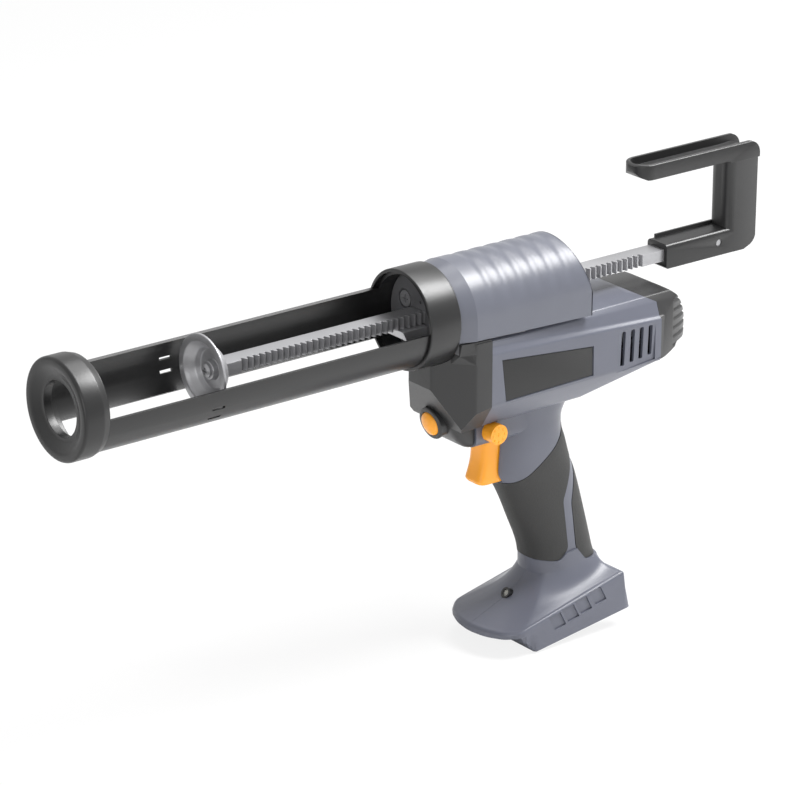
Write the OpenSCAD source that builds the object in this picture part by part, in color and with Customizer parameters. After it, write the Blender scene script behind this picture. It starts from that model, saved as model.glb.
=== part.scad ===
// Cordless caulking tool, in millimetres.
// The origin is the centre of the mouth of the nozzle hole in the front ring.
// +X runs back along the barrel axis, +Z is up, and the tool's left side is towards -Y.

/* [Cartridge holder] */
// Outer radius of the holder tube
tube_r = 27; // [25.5:0.25:29]
// Wall of the holder tube
tube_wall = 1.8; // [1.2:0.1:2.2]
// Open length between the front ring and the collar
cradle_len = 210; // [190:2:240]
// Angle that each rail of the holder covers
rail_span = 66.5; // [55:0.5:72]
// Angle of the narrow gap under the cartridge
rail_gap = 72; // [60:1:80]
// Turn of the holder about the barrel axis at rest
holder_lean = 15.4; // [0:0.2:30]
// Length of each short slot in the rails
slot_len = 8; // [5:0.5:12]
// Width of each short slot in the rails
slot_w = 1.8; // [1.2:0.1:2.5]

/* [Front ring] */
// Length of the ring's full-width band
ring_len = 12; // [10:0.5:18]
// Wall of the ring round the tube
ring_wall = 1.7; // [1.2:0.1:3]
// Length of the taper behind the band
ring_taper = 4; // [2:0.5:6]
// Radius of the nozzle hole
nozzle_r = 15.5; // [12:0.5:18]
// Depth of the dished face
dish_depth = 3; // [2:0.25:5]
// Thickness of the end wall round the nozzle hole
end_wall = 5; // [3:0.5:6]

/* [Collar] */
// Length of the collar
collar_len = 21; // [19:0.5:28]
// Wall of the collar round the tube
collar_wall = 2; // [1.8:0.1:3]

/* [Rack rod and plunger] */
// Width of the rod across the barrel
rod_w = 12; // [11:0.5:13]
// Height of the rod
rod_h = 7; // [6:0.5:8]
// Module of the rack teeth
rack_module = 1.25; // [1:0.05:1.3]
// Distance from the nozzle hole to the plunger's rim at rest
plunger_x = 90; // [70:1:110]
// Radius of the plunger disc
plunger_r = 21.2; // [19:0.2:23]
// Depth of the dish in the plunger
plunger_dish = 7.5; // [5:0.5:9]
// Thickness of the plunger's sheet
plunger_wall = 1.5; // [1.2:0.1:2]
// Plain length at the front of the rod
plain_front = 13; // [8:1:25]
// Plain length of the rod behind its teeth, up to the hook
plain_rear = 17; // [10:1:25]

/* [Hook handle] */
// Distance from the tunnel's rear face to the hook at rest
hook_gap = 68; // [50:1:90]
// Length of the hook, front of the sleeve to the back of the post
hook_len = 68.5; // [66:0.5:85]
// Width of the hook across the barrel
hook_w = 17; // [15.5:0.5:20]
// Depth of the post along the barrel
post_len = 22.5; // [20:0.5:26]
// Height of the hook's top above the barrel axis
hook_top = 58; // [50:1:66]
// Thickness of the upper arm
arm_h = 9; // [8:0.5:11]
// Reach of the upper arm in front of the sleeve's front
arm_reach = 22; // [10:1:30]
// Width of the upper arm
arm_w = 20; // [18:0.5:24]

/* [Gear housing] */
// Outer radius of the tunnel
tunnel_r = 28.7; // [28.2:0.1:31]
// Length of the tunnel
tunnel_len = 98; // [92:1:110]
// Wall of the tunnel
tunnel_wall = 2.5; // [2:0.1:2.8]
// Length of the flared front band
band_len = 11; // [6:0.5:14]
// Depth of the grip scallops at the crest
scallop_depth = 0.8; // [0.4:0.1:1.2]
// Rake of the tunnel's rear face, run to rise
tunnel_rake = 0.3; // [0:0.05:0.35]
// Distance of the tunnel's lower edge under the barrel axis
deck_z = 18; // [17.5:0.1:19]

/* [Motor housing] */
// Half width of the body
body_half = 30; // [29:0.25:32]
// Distance from the collar to the seam between the cover and the body
seam_gap = 21; // [20:0.5:24]
// Distance from the tunnel's end to the seam of the rear cap
cap_gap = 45; // [43:1:55]
// Length of the rear cap
cap_len = 37; // [34:0.5:42]
// Depth of the motor axis under the barrel axis
motor_z = 35; // [35:0.25:36.5]
// Radius of the motor
motor_r = 16.5; // [15:0.25:16.5]
// Length of the motor can
motor_len = 57; // [52:0.5:57]
// Wall of the moulded shells
shell_wall = 2.5; // [2:0.1:3]
// Width of each vent slot
vent_w = 3; // [2:0.2:4]
// Height of each vent slot
vent_h = 20; // [14:0.5:22]

/* [Handle and foot] */
// Half width of the handle
grip_half = 17.2; // [16.5:0.1:19]
// Height of the handle's foot joint under the barrel axis
neck_z = 176; // [172:0.5:180]
// Pitch of the foot, raised towards the rear
foot_pitch = 7.9; // [6:0.1:9]
// Half width of the foot
foot_half = 30.5; // [29.5:0.25:34]
// Length of the foot's straight sides
foot_len = 70; // [68:0.5:76]
// Reach of the foot's nose in front of its lower edge
nose_reach = 20; // [17:0.5:22]
// Depth of the battery slot
slot_depth = 12; // [10:0.5:13]

/* [Controls] */
// Travel of the trigger
trigger_travel = 6; // [4:0.5:7]
// Width of the trigger
trigger_w = 16; // [14:0.5:18]
// Radius of the trigger lock pin
lock_r = 5.9; // [5:0.1:6.2]
// Length of the trigger lock pin
lock_len = 42; // [38:0.5:46]
// Full travel of the trigger lock pin
lock_travel = 6; // [4:0.5:7]
// Last part of its travel, over which the pin blocks the trigger
lock_engage = 2; // [1:0.25:3]
// Radius of the rod release button
release_r = 7; // [6:0.1:7.4]
// Travel of the rod release button
release_travel = 4; // [2:0.5:5]

/* [Hidden] */
$fn = 96;

// Clearances
run_fit = 0.06;
press_gap = 0.02;
slip = 0.25;
free = 0.4;

// Reach of the half spaces that cut a part in two
far = 1000;

// Stations along the barrel axis
ring_x0 = -dish_depth;
ring_x1 = ring_x0 + ring_len;
ring_x2 = ring_x1 + ring_taper;
collar_x0 = ring_x2 + cradle_len;
collar_x1 = collar_x0 + collar_len;
flange_len = 3;
lip_len = 2;
tube_x1 = collar_x1 - lip_len - flange_len - 2 * slip;
flange_x0 = tube_x1 + slip;
plate_x0 = tube_x1 - 2.5;
tunnel_x0 = collar_x1 + slip;
tunnel_x1 = tunnel_x0 + tunnel_len;
seam_x = collar_x1 + seam_gap;
cap_x0 = tunnel_x1 + cap_gap;
cap_x1 = cap_x0 + cap_len;

// Radii of the holder, its collar and the nose that they turn on
bore_r = tube_r - tube_wall;
ring_r = tube_r + ring_wall;
collar_r = tube_r + collar_wall;
flange_r = tube_r + 0.6;
neck_r = tube_r - 0.8;
plug_r = bore_r - run_fit;

// Rack and pinion
pinion_teeth = 12;
pinion_shift = 0.3;
rack_pitch = PI * rack_module;
flank = 20;
rack_slack = 0.24;
pinion_r = rack_module * pinion_teeth / 2;
rack_line = -rod_w / 2 + rack_module;
pinion_x = collar_x1 + 15;
pinion_y = rack_line - pinion_r - pinion_shift * rack_module;
pinion_tip = pinion_r + (1 + pinion_shift) * rack_module;
pinion_half = rod_h / 2 + 0.5;

// Wheel that drives the pinion shaft, and the pinion on the gear head
wheel_module = 1;
wheel_teeth = 18;
drive_teeth = 12;
drive_shift = 0.3;
wheel_r = wheel_module * wheel_teeth / 2;
drive_r = wheel_module * drive_teeth / 2;
wheel_gap = wheel_r + drive_r + drive_shift * wheel_module;
wheel_slack = 0.2;
drive_x = pinion_x + sqrt(pow(wheel_gap, 2) - pow(pinion_y, 2));
wheel_line = atan2(-pinion_y, drive_x - pinion_x);
wheel_h = 6;
wheel_z1 = -rod_h / 2 - 3.5;
wheel_z0 = wheel_z1 - wheel_h;
shaft_r = 3;
bush_r = 5;

// Gear frame between the tunnel and the body
frame_r = tunnel_r - tunnel_wall - free;
frame_x0 = flange_x0 + flange_len + lip_len + 2 * slip;
frame_x1 = drive_x + 24;
frame_top = rod_h / 2 + 5.5;
frame_floor = -deck_z;
lid_h = 3;
pocket_r = wheel_r + wheel_module + 0.6;

// Rod
rod_x0 = plunger_x + plunger_dish + plunger_wall;
hook_x0 = tunnel_x1 + hook_gap;
teeth_front = floor((pinion_x - rod_x0 - plain_front) / rack_pitch);
teeth_rear = floor((hook_x0 - plain_rear - pinion_x) / rack_pitch);

// Colours
shell_grey = [0.42, 0.43, 0.47];
tunnel_grey = [0.58, 0.59, 0.62];
dark = [0.2, 0.2, 0.2];
black = [0.12, 0.12, 0.12];
orange = [0.96, 0.6, 0.13];
steel = [0.7, 0.7, 0.72];
rubber = [0.17, 0.17, 0.17];

// Extrudes a section drawn in Y and Z along X
module along_x(x0, x1) {
    translate([x0, 0, 0]) rotate([90, 0, 90]) linear_extrude(x1 - x0) children();
}

// Extrudes a side view drawn in X and Z along Y
module along_y(y0, y1) {
    translate([0, y1, 0]) rotate([90, 0, 0]) linear_extrude(y1 - y0) children();
}

// Extrudes a plan drawn in X and Y along Z
module along_z(z0, z1) {
    translate([0, 0, z0]) linear_extrude(z1 - z0) children();
}

// Turns a profile of radius and X about the barrel axis
module turned() {
    rotate([0, 90, 0]) rotate_extrude() children();
}

module rod_along_x(r, x0, x1) {
    translate([x0, 0, 0]) rotate([0, 90, 0]) cylinder(r = r, h = x1 - x0);
}

module rod_along_y(r, y0, y1) {
    translate([0, y0, 0]) rotate([-90, 0, 0]) cylinder(r = r, h = y1 - y0);
}

module box(low, high) {
    translate(low) cube(high - low);
}

// Rectangle with round corners, centred
module round_rect(w, h, r) {
    square([w - 2 * r, h], center = true);
    square([w, h - 2 * r], center = true);
    for (x = [-1, 1], y = [-1, 1])
        translate([x * (w / 2 - r), y * (h / 2 - r)]) circle(r = r);
}

// Half space on the far side of a plane through p with outward normal n
module beyond(p, n) {
    translate(p) rotate([0, acos(n[2] / norm(n)), atan2(n[1], n[0])])
        translate([-far, -far, 0]) cube([2 * far, 2 * far, far]);
}

// Angle from a tooth's centre line to its flank at radius r
function inv(a) = tan(a) * 180 / PI - a;
function tooth_half(r, m, n, shift, slack) =
    let (rp = m * n / 2, rb = rp * cos(flank), a = acos(min(1, rb / max(r, rb))))
    (m * (PI / 2 + 2 * shift * tan(flank)) - slack) / (2 * rp) * 180 / PI + inv(flank) - inv(a);

// Involute gear outline, first tooth along +X
function gear_points(m, n, shift, slack) =
    let (rp = m * n / 2, tip = rp + m * (1 + shift), root = rp - m * (1.25 - shift), steps = 5)
    [for (i = [0 : n - 1], side = [-1, 1], k = [0 : steps])
        let (j = side < 0 ? k : steps - k, r = root + (tip - root) * j / steps,
            a = i * 360 / n + side * tooth_half(r, m, n, shift, slack))
        r * [cos(a), sin(a)]];

module spur_gear(m, n, shift, slack, bore, z0, z1) {
    along_z(z0, z1) difference() {
        polygon(gear_points(m, n, shift, slack));
        circle(r = bore);
    }
}

// Coil spring on +X: a round wire carried along a helix
module coil(mid_r, wire_r, length, turns) {
    per_turn = 12;
    sides = 6;
    count = turns * per_turn;
    rise = length - 2 * wire_r;
    points = [for (i = [0 : count], s = [0 : sides - 1])
        let (t = i / per_turn * 360, a = s * 360 / sides, r = mid_r + wire_r * cos(a))
        [wire_r + rise * i / count + wire_r * sin(a), r * cos(t), r * sin(t)]];
    skin = [for (i = [0 : count - 1], s = [0 : sides - 1])
        let (a = i * sides + s, b = i * sides + (s + 1) % sides)
        for (f = [[a, b, b + sides], [a, b + sides, a + sides]]) f];
    last = count * sides;
    caps = [for (s = [1 : sides - 2]) for (f = [[0, s + 1, s], [last, last + s, last + s + 1]]) f];
    polyhedron(points, concat(skin, caps));
}

// Rounded ring of points at height z between x0 and x1, half width b, squareness n
function ring_points(s, grow, sides) =
    let (x0 = s[0] - grow, x1 = s[1] + grow, b = s[2] + grow, n = s[4], cx = (x0 + x1) / 2, a = (x1 - x0) / 2)
    [for (i = [0 : sides - 1])
        let (t = (i + 0.5) * 360 / sides, c = cos(t), w = sin(t))
        [cx + a * sign(c) * pow(abs(c), 2 / n), b * sign(w) * pow(abs(w), 2 / n), s[3]]];

// Skin carried through a stack of rounded rings, lowest last
module loft(stack, grow = 0) {
    sides = 36;
    count = len(stack);
    points = [for (s = stack) each ring_points(s, grow, sides)];
    skin = [for (k = [0 : count - 2], i = [0 : sides - 1])
        let (a = k * sides + i, b = k * sides + (i + 1) % sides)
        for (f = [[a, b, b + sides], [a, b + sides, a + sides]]) f];
    last = (count - 1) * sides;
    caps = [[for (i = [sides - 1 : -1 : 0]) i], [for (i = [0 : sides - 1]) last + i]];
    polyhedron(points, concat(skin, caps));
}

// Holder, its ring and its collar, which turn together

module holder_pose() {
    rotate([holder_lean, 0, 0]) children();
}

// Turns children to an angle from the holder's lowest line
module at_rail(a) {
    rotate([a, 0, 0]) children();
}

module front_ring() {
    lip_round = 1.4;
    dish_r = tube_r - 3;
    socket_r = tube_r + press_gap;
    color(black) holder_pose() difference() {
        turned() polygon(concat(
            [[nozzle_r, 0], [nozzle_r + 2, 0], [dish_r, ring_x0], [ring_r - lip_round, ring_x0]],
            [for (a = [15 : 15 : 75])
                [ring_r - lip_round + lip_round * sin(a), ring_x0 + lip_round - lip_round * cos(a)]],
            [[ring_r, ring_x0 + lip_round], [ring_r, ring_x1], [socket_r + 0.5, ring_x2],
             [socket_r, ring_x2], [socket_r, end_wall], [nozzle_r, end_wall]]));
        screw_line(ring_screw_r + press_gap);
    }
}

ring_screw_r = 1.5;
ring_screw_a = 46;

module screw_line(r) {
    at_rail(-ring_screw_a) translate([ring_x1 - 1.5, 0, -ring_r - 1]) cylinder(r = r, h = ring_wall + tube_wall + 1);
}

module ring_screw() {
    hex = 0.9;
    sunk = 0.5;
    color(steel) holder_pose() at_rail(-ring_screw_a) difference() {
        translate([ring_x1 - 1.5, 0, -ring_r + sunk]) cylinder(r = ring_screw_r, h = ring_wall + tube_wall - sunk);
        translate([ring_x1 - 1.5, 0, -ring_r + sunk - 1]) cylinder(r = hex, h = 2.2, $fn = 6);
    }
}

// Sector of angle a0 to a1 from straight down, seen along +X
module sector(a0, a1) {
    reach = 2 * tube_r;
    steps = 8;
    polygon(concat([[0, 0]], [for (i = [0 : steps])
        let (a = a0 + (a1 - a0) * i / steps) reach * [sin(a), -cos(a)]]));
}

module holder_tube() {
    window_x0 = ring_x2 + 0.5;
    window_x1 = collar_x0 + 3;
    rail_x = plunger_x - 6;
    half_gap = rail_gap / 2;
    open_a = half_gap + rail_span;
    color(black) holder_pose() difference() {
        turned() polygon([[bore_r, end_wall], [tube_r, end_wall], [tube_r, tube_x1], [bore_r, tube_x1]]);
        along_x(window_x0, window_x1) sector(-half_gap, half_gap);
        along_x(window_x0, window_x1) sector(open_a, 360 - open_a);
        for (side = [-1, 1], a = [62, 79]) at_rail(side * a)
            box([rail_x - slot_len / 2, -slot_w / 2, -tube_r - 1], [rail_x + slot_len / 2, slot_w / 2, -bore_r + 1]);
        screw_line(ring_screw_r + press_gap);
    }
}

module collar() {
    groove_r = flange_r + 0.3;
    lip_r = neck_r + 0.3;
    edge = 0.8;
    color(black) holder_pose() turned() polygon([[tube_r + press_gap, collar_x0],
        [collar_r - edge, collar_x0], [collar_r, collar_x0 + edge], [collar_r, collar_x1 - edge],
        [collar_r - edge, collar_x1], [lip_r, collar_x1], [lip_r, collar_x1 - lip_len],
        [groove_r, collar_x1 - lip_len], [groove_r, tube_x1], [tube_r + press_gap, tube_x1]]);
}

// Plunger, rod and hook, which slide together

boss_r = 5.5;
boss_h = 3.5;
screw_r = 2;

module plunger_disc() {
    back = plunger_x + plunger_dish + plunger_wall;
    floor_x = plunger_x + plunger_dish;
    rim_r = plunger_r - 4.5;
    floor_r = rim_r - 3.5;
    color(steel) turned() polygon([[screw_r + 0.1, floor_x - boss_h], [boss_r - 1, floor_x - boss_h],
        [boss_r, floor_x - boss_h + 1], [boss_r + 0.3, floor_x], [floor_r, floor_x],
        [rim_r, plunger_x + 0.4], [rim_r + 0.5, plunger_x], [plunger_r - 0.5, plunger_x],
        [plunger_r, plunger_x + 0.5], [plunger_r, plunger_x + plunger_wall],
        [rim_r + 1.4, plunger_x + plunger_wall], [floor_r + 1, back], [screw_r + 0.1, back]]);
}

module cross_recess(size, depth) {
    for (a = [0, 90]) rotate([a, 0, 0])
        box([-1, -size / 2, -size / 8], [depth, size / 2, size / 8]);
}

module disc_screw() {
    head_x = plunger_x + plunger_dish - boss_h;
    head_r = 3.8;
    color(steel) difference() {
        turned() polygon([[0, head_x - 2.2], [head_r - 1.4, head_x - 2.2], [head_r, head_x - 1],
            [head_r, head_x], [screw_r, head_x], [screw_r, rod_x0 + 12], [0, rod_x0 + 13]]);
        translate([head_x - 2.2, 0, 0]) cross_recess(4, 1.4);
    }
}

// Rod outline in plan: each groove is a trapezoid cut at the rack's pitch
module rod_outline() {
    ded = 1.25 * rack_module;
    root_y = rack_line + ded;
    tip_y = -rod_w / 2;
    half_line = rack_pitch / 4 + rack_slack / 2;
    half_mouth = half_line + rack_module * tan(flank);
    half_root = half_line - ded * tan(flank);
    edge = 0.6;
    polygon(concat([[rod_x0, rod_w / 2 - edge], [rod_x0, tip_y + edge], [rod_x0 + edge, tip_y]],
        [for (k = [-teeth_front : teeth_rear], p = [[-half_mouth, tip_y], [-half_root, root_y],
            [half_root, root_y], [half_mouth, tip_y]]) [pinion_x + k * rack_pitch + p[0], p[1]]],
        [[rod_x1, tip_y], [rod_x1, rod_w / 2], [rod_x0 + edge, rod_w / 2]]));
}

rod_x1 = hook_x0 + 52;
hook_pin_x = hook_x0 + 40;
hook_pin_r = 2;

module rack_rod() {
    color(steel) difference() {
        along_z(-rod_h / 2, rod_h / 2) rod_outline();
        rod_along_x(screw_r + press_gap, rod_x0 - 1, rod_x0 + 14);
        translate([hook_pin_x, 0, 0]) rod_along_y(hook_pin_r + press_gap, -rod_w, rod_w);
    }
}

// Profile of the hook seen from the side, as a thick letter C
sleeve_low = -rod_h / 2 - 4.3;
sleeve_top = rod_h / 2 + 3.4;
hook_bend = 8;
trough = 4;
trough_wall = 2.2;
hook_split = hook_top - arm_h - 1.5;

module hook_side() {
    x1 = hook_x0 + hook_len;
    nib = 3;
    post_x = x1 - post_len;
    polygon(concat(
        [[hook_x0, sleeve_low + 1], [hook_x0 + 1, sleeve_low], [x1 - hook_bend - 1, sleeve_low]],
        [for (a = [-75 : 15 : 0]) [x1 - hook_bend + hook_bend * cos(a), sleeve_low + hook_bend + 2 + hook_bend * sin(a)]],
        [for (a = [0 : 15 : 90]) [x1 - hook_bend + hook_bend * cos(a), hook_top - hook_bend + hook_bend * sin(a)]],
        [[hook_x0 - arm_reach + nib, hook_top], [hook_x0 - arm_reach, hook_top - nib],
         [hook_x0 - arm_reach + nib, hook_top - arm_h + 1], [hook_x0 - arm_reach + 2 * nib, hook_top - arm_h]],
        [[post_x - 1, hook_top - arm_h], [post_x, hook_top - arm_h - 1], [post_x, sleeve_top + 1],
         [post_x - 1, sleeve_top], [hook_x0, sleeve_top]]));
}

// Plan of the upper arm: straight sides and a half-round tip
module arm_plan(grow, rear) {
    r = arm_w / 2 + grow;
    mid = hook_x0 - arm_reach + arm_w / 2;
    translate([mid, 0]) circle(r = r);
    translate([mid, -r]) square([rear - mid, 2 * r]);
}

// Hollow side of the letter C, open above the arm and behind the post
module hook_trough() {
    x1 = hook_x0 + hook_len;
    bend = hook_bend - trough;
    half = hook_w / 2 - trough_wall;
    intersection() {
        union() {
            along_z(hook_split, 2 * hook_top) arm_plan(-trough_wall, x1 + trough);
            box([x1 - post_len, -half, 0], [x1 + trough, half, 2 * hook_top]);
        }
        along_y(-arm_w, arm_w) polygon(concat([[hook_x0 - arm_w - arm_reach, 2 * hook_top],
            [hook_x0 - arm_w - arm_reach, hook_top - trough]],
            [for (a = [90 : -15 : 0]) [x1 - hook_bend + bend * cos(a), hook_top - hook_bend + bend * sin(a)]],
            [[x1 - trough, sleeve_top + trough], [x1 + trough, sleeve_top], [x1 + trough, 2 * hook_top]]));
    }
}

module hook_handle() {
    socket_x1 = rod_x1 + slip;
    x1 = hook_x0 + hook_len;
    front_round = 6;
    lip_t = 1.4;
    lip_h = 1.8;
    color(black) difference() {
        union() {
            intersection() {
                along_y(-arm_w / 2, arm_w / 2) hook_side();
                along_z(hook_split, hook_top) arm_plan(0, x1);
            }
            intersection() {
                along_y(-hook_w / 2, hook_w / 2) hook_side();
                along_z(-deck_z, hook_split + 1) {
                    translate([x1 - post_len / 2, 0]) round_rect(post_len, hook_w, front_round);
                    translate([x1 - post_len / 4, 0]) round_rect(post_len / 2, hook_w, 2);
                }
            }
            intersection() {
                along_y(-hook_w / 2, hook_w / 2) hook_side();
                along_x(hook_x0, x1 - hook_bend) translate([0, (sleeve_low + sleeve_top) / 2])
                    round_rect(hook_w, sleeve_top - sleeve_low, 2.5);
            }
            box([hook_x0 + 4, hook_w / 2 - 1 - lip_t, sleeve_top - 1.5], [x1 - post_len + 3, hook_w / 2 - 1, sleeve_top + lip_h]);
        }
        hook_trough();
        box([hook_x0 - 1, -rod_w / 2 - press_gap, -rod_h / 2 - press_gap],
            [socket_x1, rod_w / 2 + press_gap, rod_h / 2 + press_gap]);
        translate([hook_pin_x, 0, 0]) rod_along_y(hook_pin_r + press_gap, -hook_w, hook_w);
    }
}

module hook_pin() {
    color(steel) translate([hook_pin_x, 0, 0]) rod_along_y(hook_pin_r, -hook_w / 2 + 0.5, hook_w / 2 - 0.5);
}

// Nose that the holder turns on, and the gears behind it

plate_screw_r = 2;
screw_spots = [[12, 6.5], [-12, 6.5], [11, -15.5]];
screw_well_r = 5.8;
wall_x1 = frame_x0 + 4;

module rack_slot(x0, x1, gap = slip) {
    box([x0, -rod_w / 2 - gap, -rod_h / 2 - gap], [x1, rod_w / 2 + gap, rod_h / 2 + gap]);
}

module nose_plate() {
    well = 2.5;
    color(dark) difference() {
        turned() polygon([[0, plate_x0], [plug_r - 0.6, plate_x0], [plug_r, plate_x0 + 0.6],
            [plug_r, flange_x0], [flange_r, flange_x0], [flange_r, flange_x0 + flange_len],
            [neck_r, flange_x0 + flange_len], [neck_r, frame_x0], [0, frame_x0]]);
        rack_slot(plate_x0 - 1, frame_x0 + 1);
        for (p = screw_spots) translate([0, p[0], p[1]]) {
            rod_along_x(plate_screw_r + press_gap, plate_x0 - 1, frame_x0 + 1);
            rod_along_x(screw_well_r, plate_x0 - 1, plate_x0 + well);
        }
        translate([0, -2, 8]) rod_along_x(1, plate_x0 - 1, plate_x0 + 4);
    }
}

module plate_screws() {
    head_r = 4.6;
    head_h = 2.2;
    head_x = plate_x0 + 2.5;
    color(black) for (p = screw_spots) translate([0, p[0], p[1]]) difference() {
        union() {
            rod_along_x(head_r, head_x - head_h, head_x);
            rod_along_x(plate_screw_r, head_x - 0.5, wall_x1 - 0.5);
        }
        translate([head_x - head_h, 0, 0]) cross_recess(5, 1.6);
    }
}

// Block under the rod that steadies it in front of the nose
module rack_guide() {
    guide_len = 17.5;
    guide_half = rod_w / 2 + 3;
    top = -rod_h / 2 - slip;
    color([0.6, 0.6, 0.61]) along_y(-guide_half, guide_half)
        polygon([[plate_x0 - guide_len, top], [plate_x0 - guide_len + 3, top - 6], [plate_x0, top - 6], [plate_x0, top]]);
}

// Section of the gear frame: round over the top, straight down the sides
module frame_section(top, r) {
    intersection() {
        union() {
            circle(r = r);
            translate([-r, frame_floor]) square([2 * r, -frame_floor]);
        }
        translate([-r, frame_floor]) square([2 * r, top - frame_floor]);
    }
}

lid_x0 = wall_x1 + slip;
lid_spots = [[lid_x0 + 5, 14], [frame_x1 - 5, 14], [frame_x1 - 5, -14]];
lid_screw_r = 1.5;
frame_bush_z = frame_floor + 3.6;

module gear_frame() {
    color([0.62, 0.62, 0.64]) difference() {
        union() {
            along_x(frame_x0, frame_x1) frame_section(frame_top, frame_r);
            along_x(frame_x0, wall_x1) frame_section(frame_r, frame_r);
        }
        rack_slot(frame_x0 - 1, frame_x1 + 1);
        translate([pinion_x, pinion_y, frame_bush_z]) cylinder(r = pocket_r, h = 40);
        translate([pinion_x, pinion_y, frame_floor - 1]) cylinder(r = bush_r + press_gap, h = 40);
        translate([drive_x, 0, frame_floor - 1])
            cylinder(r = drive_r + wheel_module * (1 + drive_shift) + 0.7, h = wheel_z1 + 1 - frame_floor + 1);
        for (p = screw_spots) translate([0, p[0], p[1]])
            rod_along_x(plate_screw_r + press_gap, frame_x0 - 1, wall_x1);
        for (p = lid_spots) translate([p[0], p[1], frame_top - 6]) cylinder(r = lid_screw_r + press_gap, h = 10);
    }
}

module gear_lid() {
    boss_z = pinion_half + 0.8;
    color([0.62, 0.62, 0.64]) difference() {
        union() {
            along_x(lid_x0, frame_x1) intersection() {
                circle(r = frame_r);
                translate([-frame_r, frame_top]) square([2 * frame_r, lid_h]);
            }
            translate([pinion_x, pinion_y, boss_z]) cylinder(r = bush_r + 2.5, h = frame_top + lid_h - boss_z - 1);
        }
        translate([pinion_x, pinion_y, 0]) cylinder(r = bush_r + press_gap, h = 40);
        for (p = lid_spots) translate([p[0], p[1], 0]) cylinder(r = lid_screw_r + press_gap, h = 40);
    }
}

module lid_screws() {
    head_z = frame_top + lid_h;
    color(steel) for (p = lid_spots) translate([p[0], p[1], 0]) {
        translate([0, 0, frame_top - 5]) cylinder(r = lid_screw_r, h = head_z - frame_top + 5);
        translate([0, 0, head_z]) difference() {
            cylinder(r = 2.8, h = 1.6);
            translate([0, 0, 0.6]) cylinder(r = 1.4, h = 2, $fn = 6);
        }
    }
}

module bush(z0, z1) {
    translate([pinion_x, pinion_y, z0]) difference() {
        cylinder(r = bush_r, h = z1 - z0);
        translate([0, 0, -1]) cylinder(r = shaft_r + run_fit, h = z1 - z0 + 2);
    }
}

lower_bush_z1 = frame_bush_z;
upper_bush_z0 = pinion_half + 0.8;
shaft_top = frame_top + lid_h + 1.5;
shaft_low = frame_floor - 2.2;
clip_z = [frame_floor - 1.4, frame_top + lid_h + 0.3];

module shaft_bushes() {
    color([0.72, 0.55, 0.3]) {
        bush(frame_floor, lower_bush_z1);
        bush(upper_bush_z0, frame_top + lid_h - 0.2);
    }
}

module pinion_shaft() {
    color(steel) translate([pinion_x, pinion_y, 0]) difference() {
        translate([0, 0, shaft_low]) cylinder(r = shaft_r, h = shaft_top - shaft_low);
        for (z = clip_z) translate([0, 0, z]) difference() {
            cylinder(r = shaft_r + 1, h = 0.8);
            translate([0, 0, -1]) cylinder(r = shaft_r - 0.5, h = 3);
        }
    }
}

module shaft_clips() {
    color(steel) for (z = clip_z) translate([pinion_x, pinion_y, z + 0.05]) difference() {
        cylinder(r = shaft_r + 1.6, h = 0.7);
        translate([0, 0, -1]) cylinder(r = shaft_r - 0.5 + press_gap, h = 3);
        translate([0, -1.5, -1]) cube([10, 3, 3]);
    }
}

module rack_pinion() {
    color(steel) translate([pinion_x, pinion_y, 0]) {
        rotate([0, 0, 90]) spur_gear(rack_module, pinion_teeth, pinion_shift, rack_slack / 2,
            shaft_r + press_gap, -pinion_half, pinion_half);
        difference() {
            translate([0, 0, wheel_z1]) cylinder(r = bush_r, h = -pinion_half - wheel_z1);
            translate([0, 0, wheel_z1 - 1]) cylinder(r = shaft_r + press_gap, h = 20);
        }
    }
}

module final_wheel() {
    color(steel) translate([pinion_x, pinion_y, 0]) rotate([0, 0, wheel_line])
        spur_gear(wheel_module, wheel_teeth, 0, wheel_slack, shaft_r + press_gap, wheel_z0, wheel_z1);
}

out_shaft_r = 2.5;
out_top = wheel_z1 - 0.3;

module drive_pinion() {
    half_step = 180 / drive_teeth;
    color(steel) translate([drive_x, 0, 0]) {
        rotate([0, 0, wheel_line + 180 + half_step])
            spur_gear(wheel_module, drive_teeth, drive_shift, wheel_slack, 0.01, wheel_z0, wheel_z1);
        translate([0, 0, frame_floor - 6]) cylinder(r = out_shaft_r, h = wheel_z0 - frame_floor + 6);
    }
}

// Gear head and motor

head_x0 = drive_x - 16;
head_x1 = drive_x + 20;
head_r = motor_r;
motor_x0 = cap_x0 - motor_len;
motor_shaft_r = 1.6;
can_wall = 1.5;

module motor_axis() {
    translate([0, 0, -motor_z]) children();
}

module gear_head() {
    edge = 5;
    low = -motor_z - motor_r + 1;
    color([0.5, 0.5, 0.52]) difference() {
        union() {
            along_z(low, frame_floor - slip) translate([(head_x0 + head_x1) / 2, 0])
                round_rect(head_x1 - head_x0, 2 * head_r, edge);
            motor_axis() rod_along_x(head_r, head_x1 - 1, motor_x0);
        }
        translate([drive_x, 0, frame_floor - 7]) cylinder(r = out_shaft_r + run_fit, h = 20);
        translate([pinion_x, pinion_y, frame_floor - 4]) cylinder(r = bush_r, h = 10);
        motor_axis() rod_along_x(6.8, motor_x0 - 4, motor_x0 + 1);
    }
}

module motor_can() {
    color([0.66, 0.67, 0.69]) motor_axis() difference() {
        union() {
            rod_along_x(motor_r, motor_x0, cap_x0);
            rod_along_x(6.5, motor_x0 - 3, motor_x0 + 1);
        }
        rod_along_x(motor_r - can_wall, motor_x0 + can_wall, cap_x0 + 1);
        rod_along_x(5 + press_gap, motor_x0 - 2, motor_x0 + 10);
        rod_along_x(motor_shaft_r + 1, motor_x0 - 4, motor_x0 + 10);
        for (a = [0 : 60 : 300]) rotate([a, 0, 0])
            box([cap_x0 - 14, -4, motor_r - can_wall - 1], [cap_x0 - 6, 4, motor_r + 1]);
    }
}

magnet_r0 = motor_r - can_wall - 4;

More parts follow.
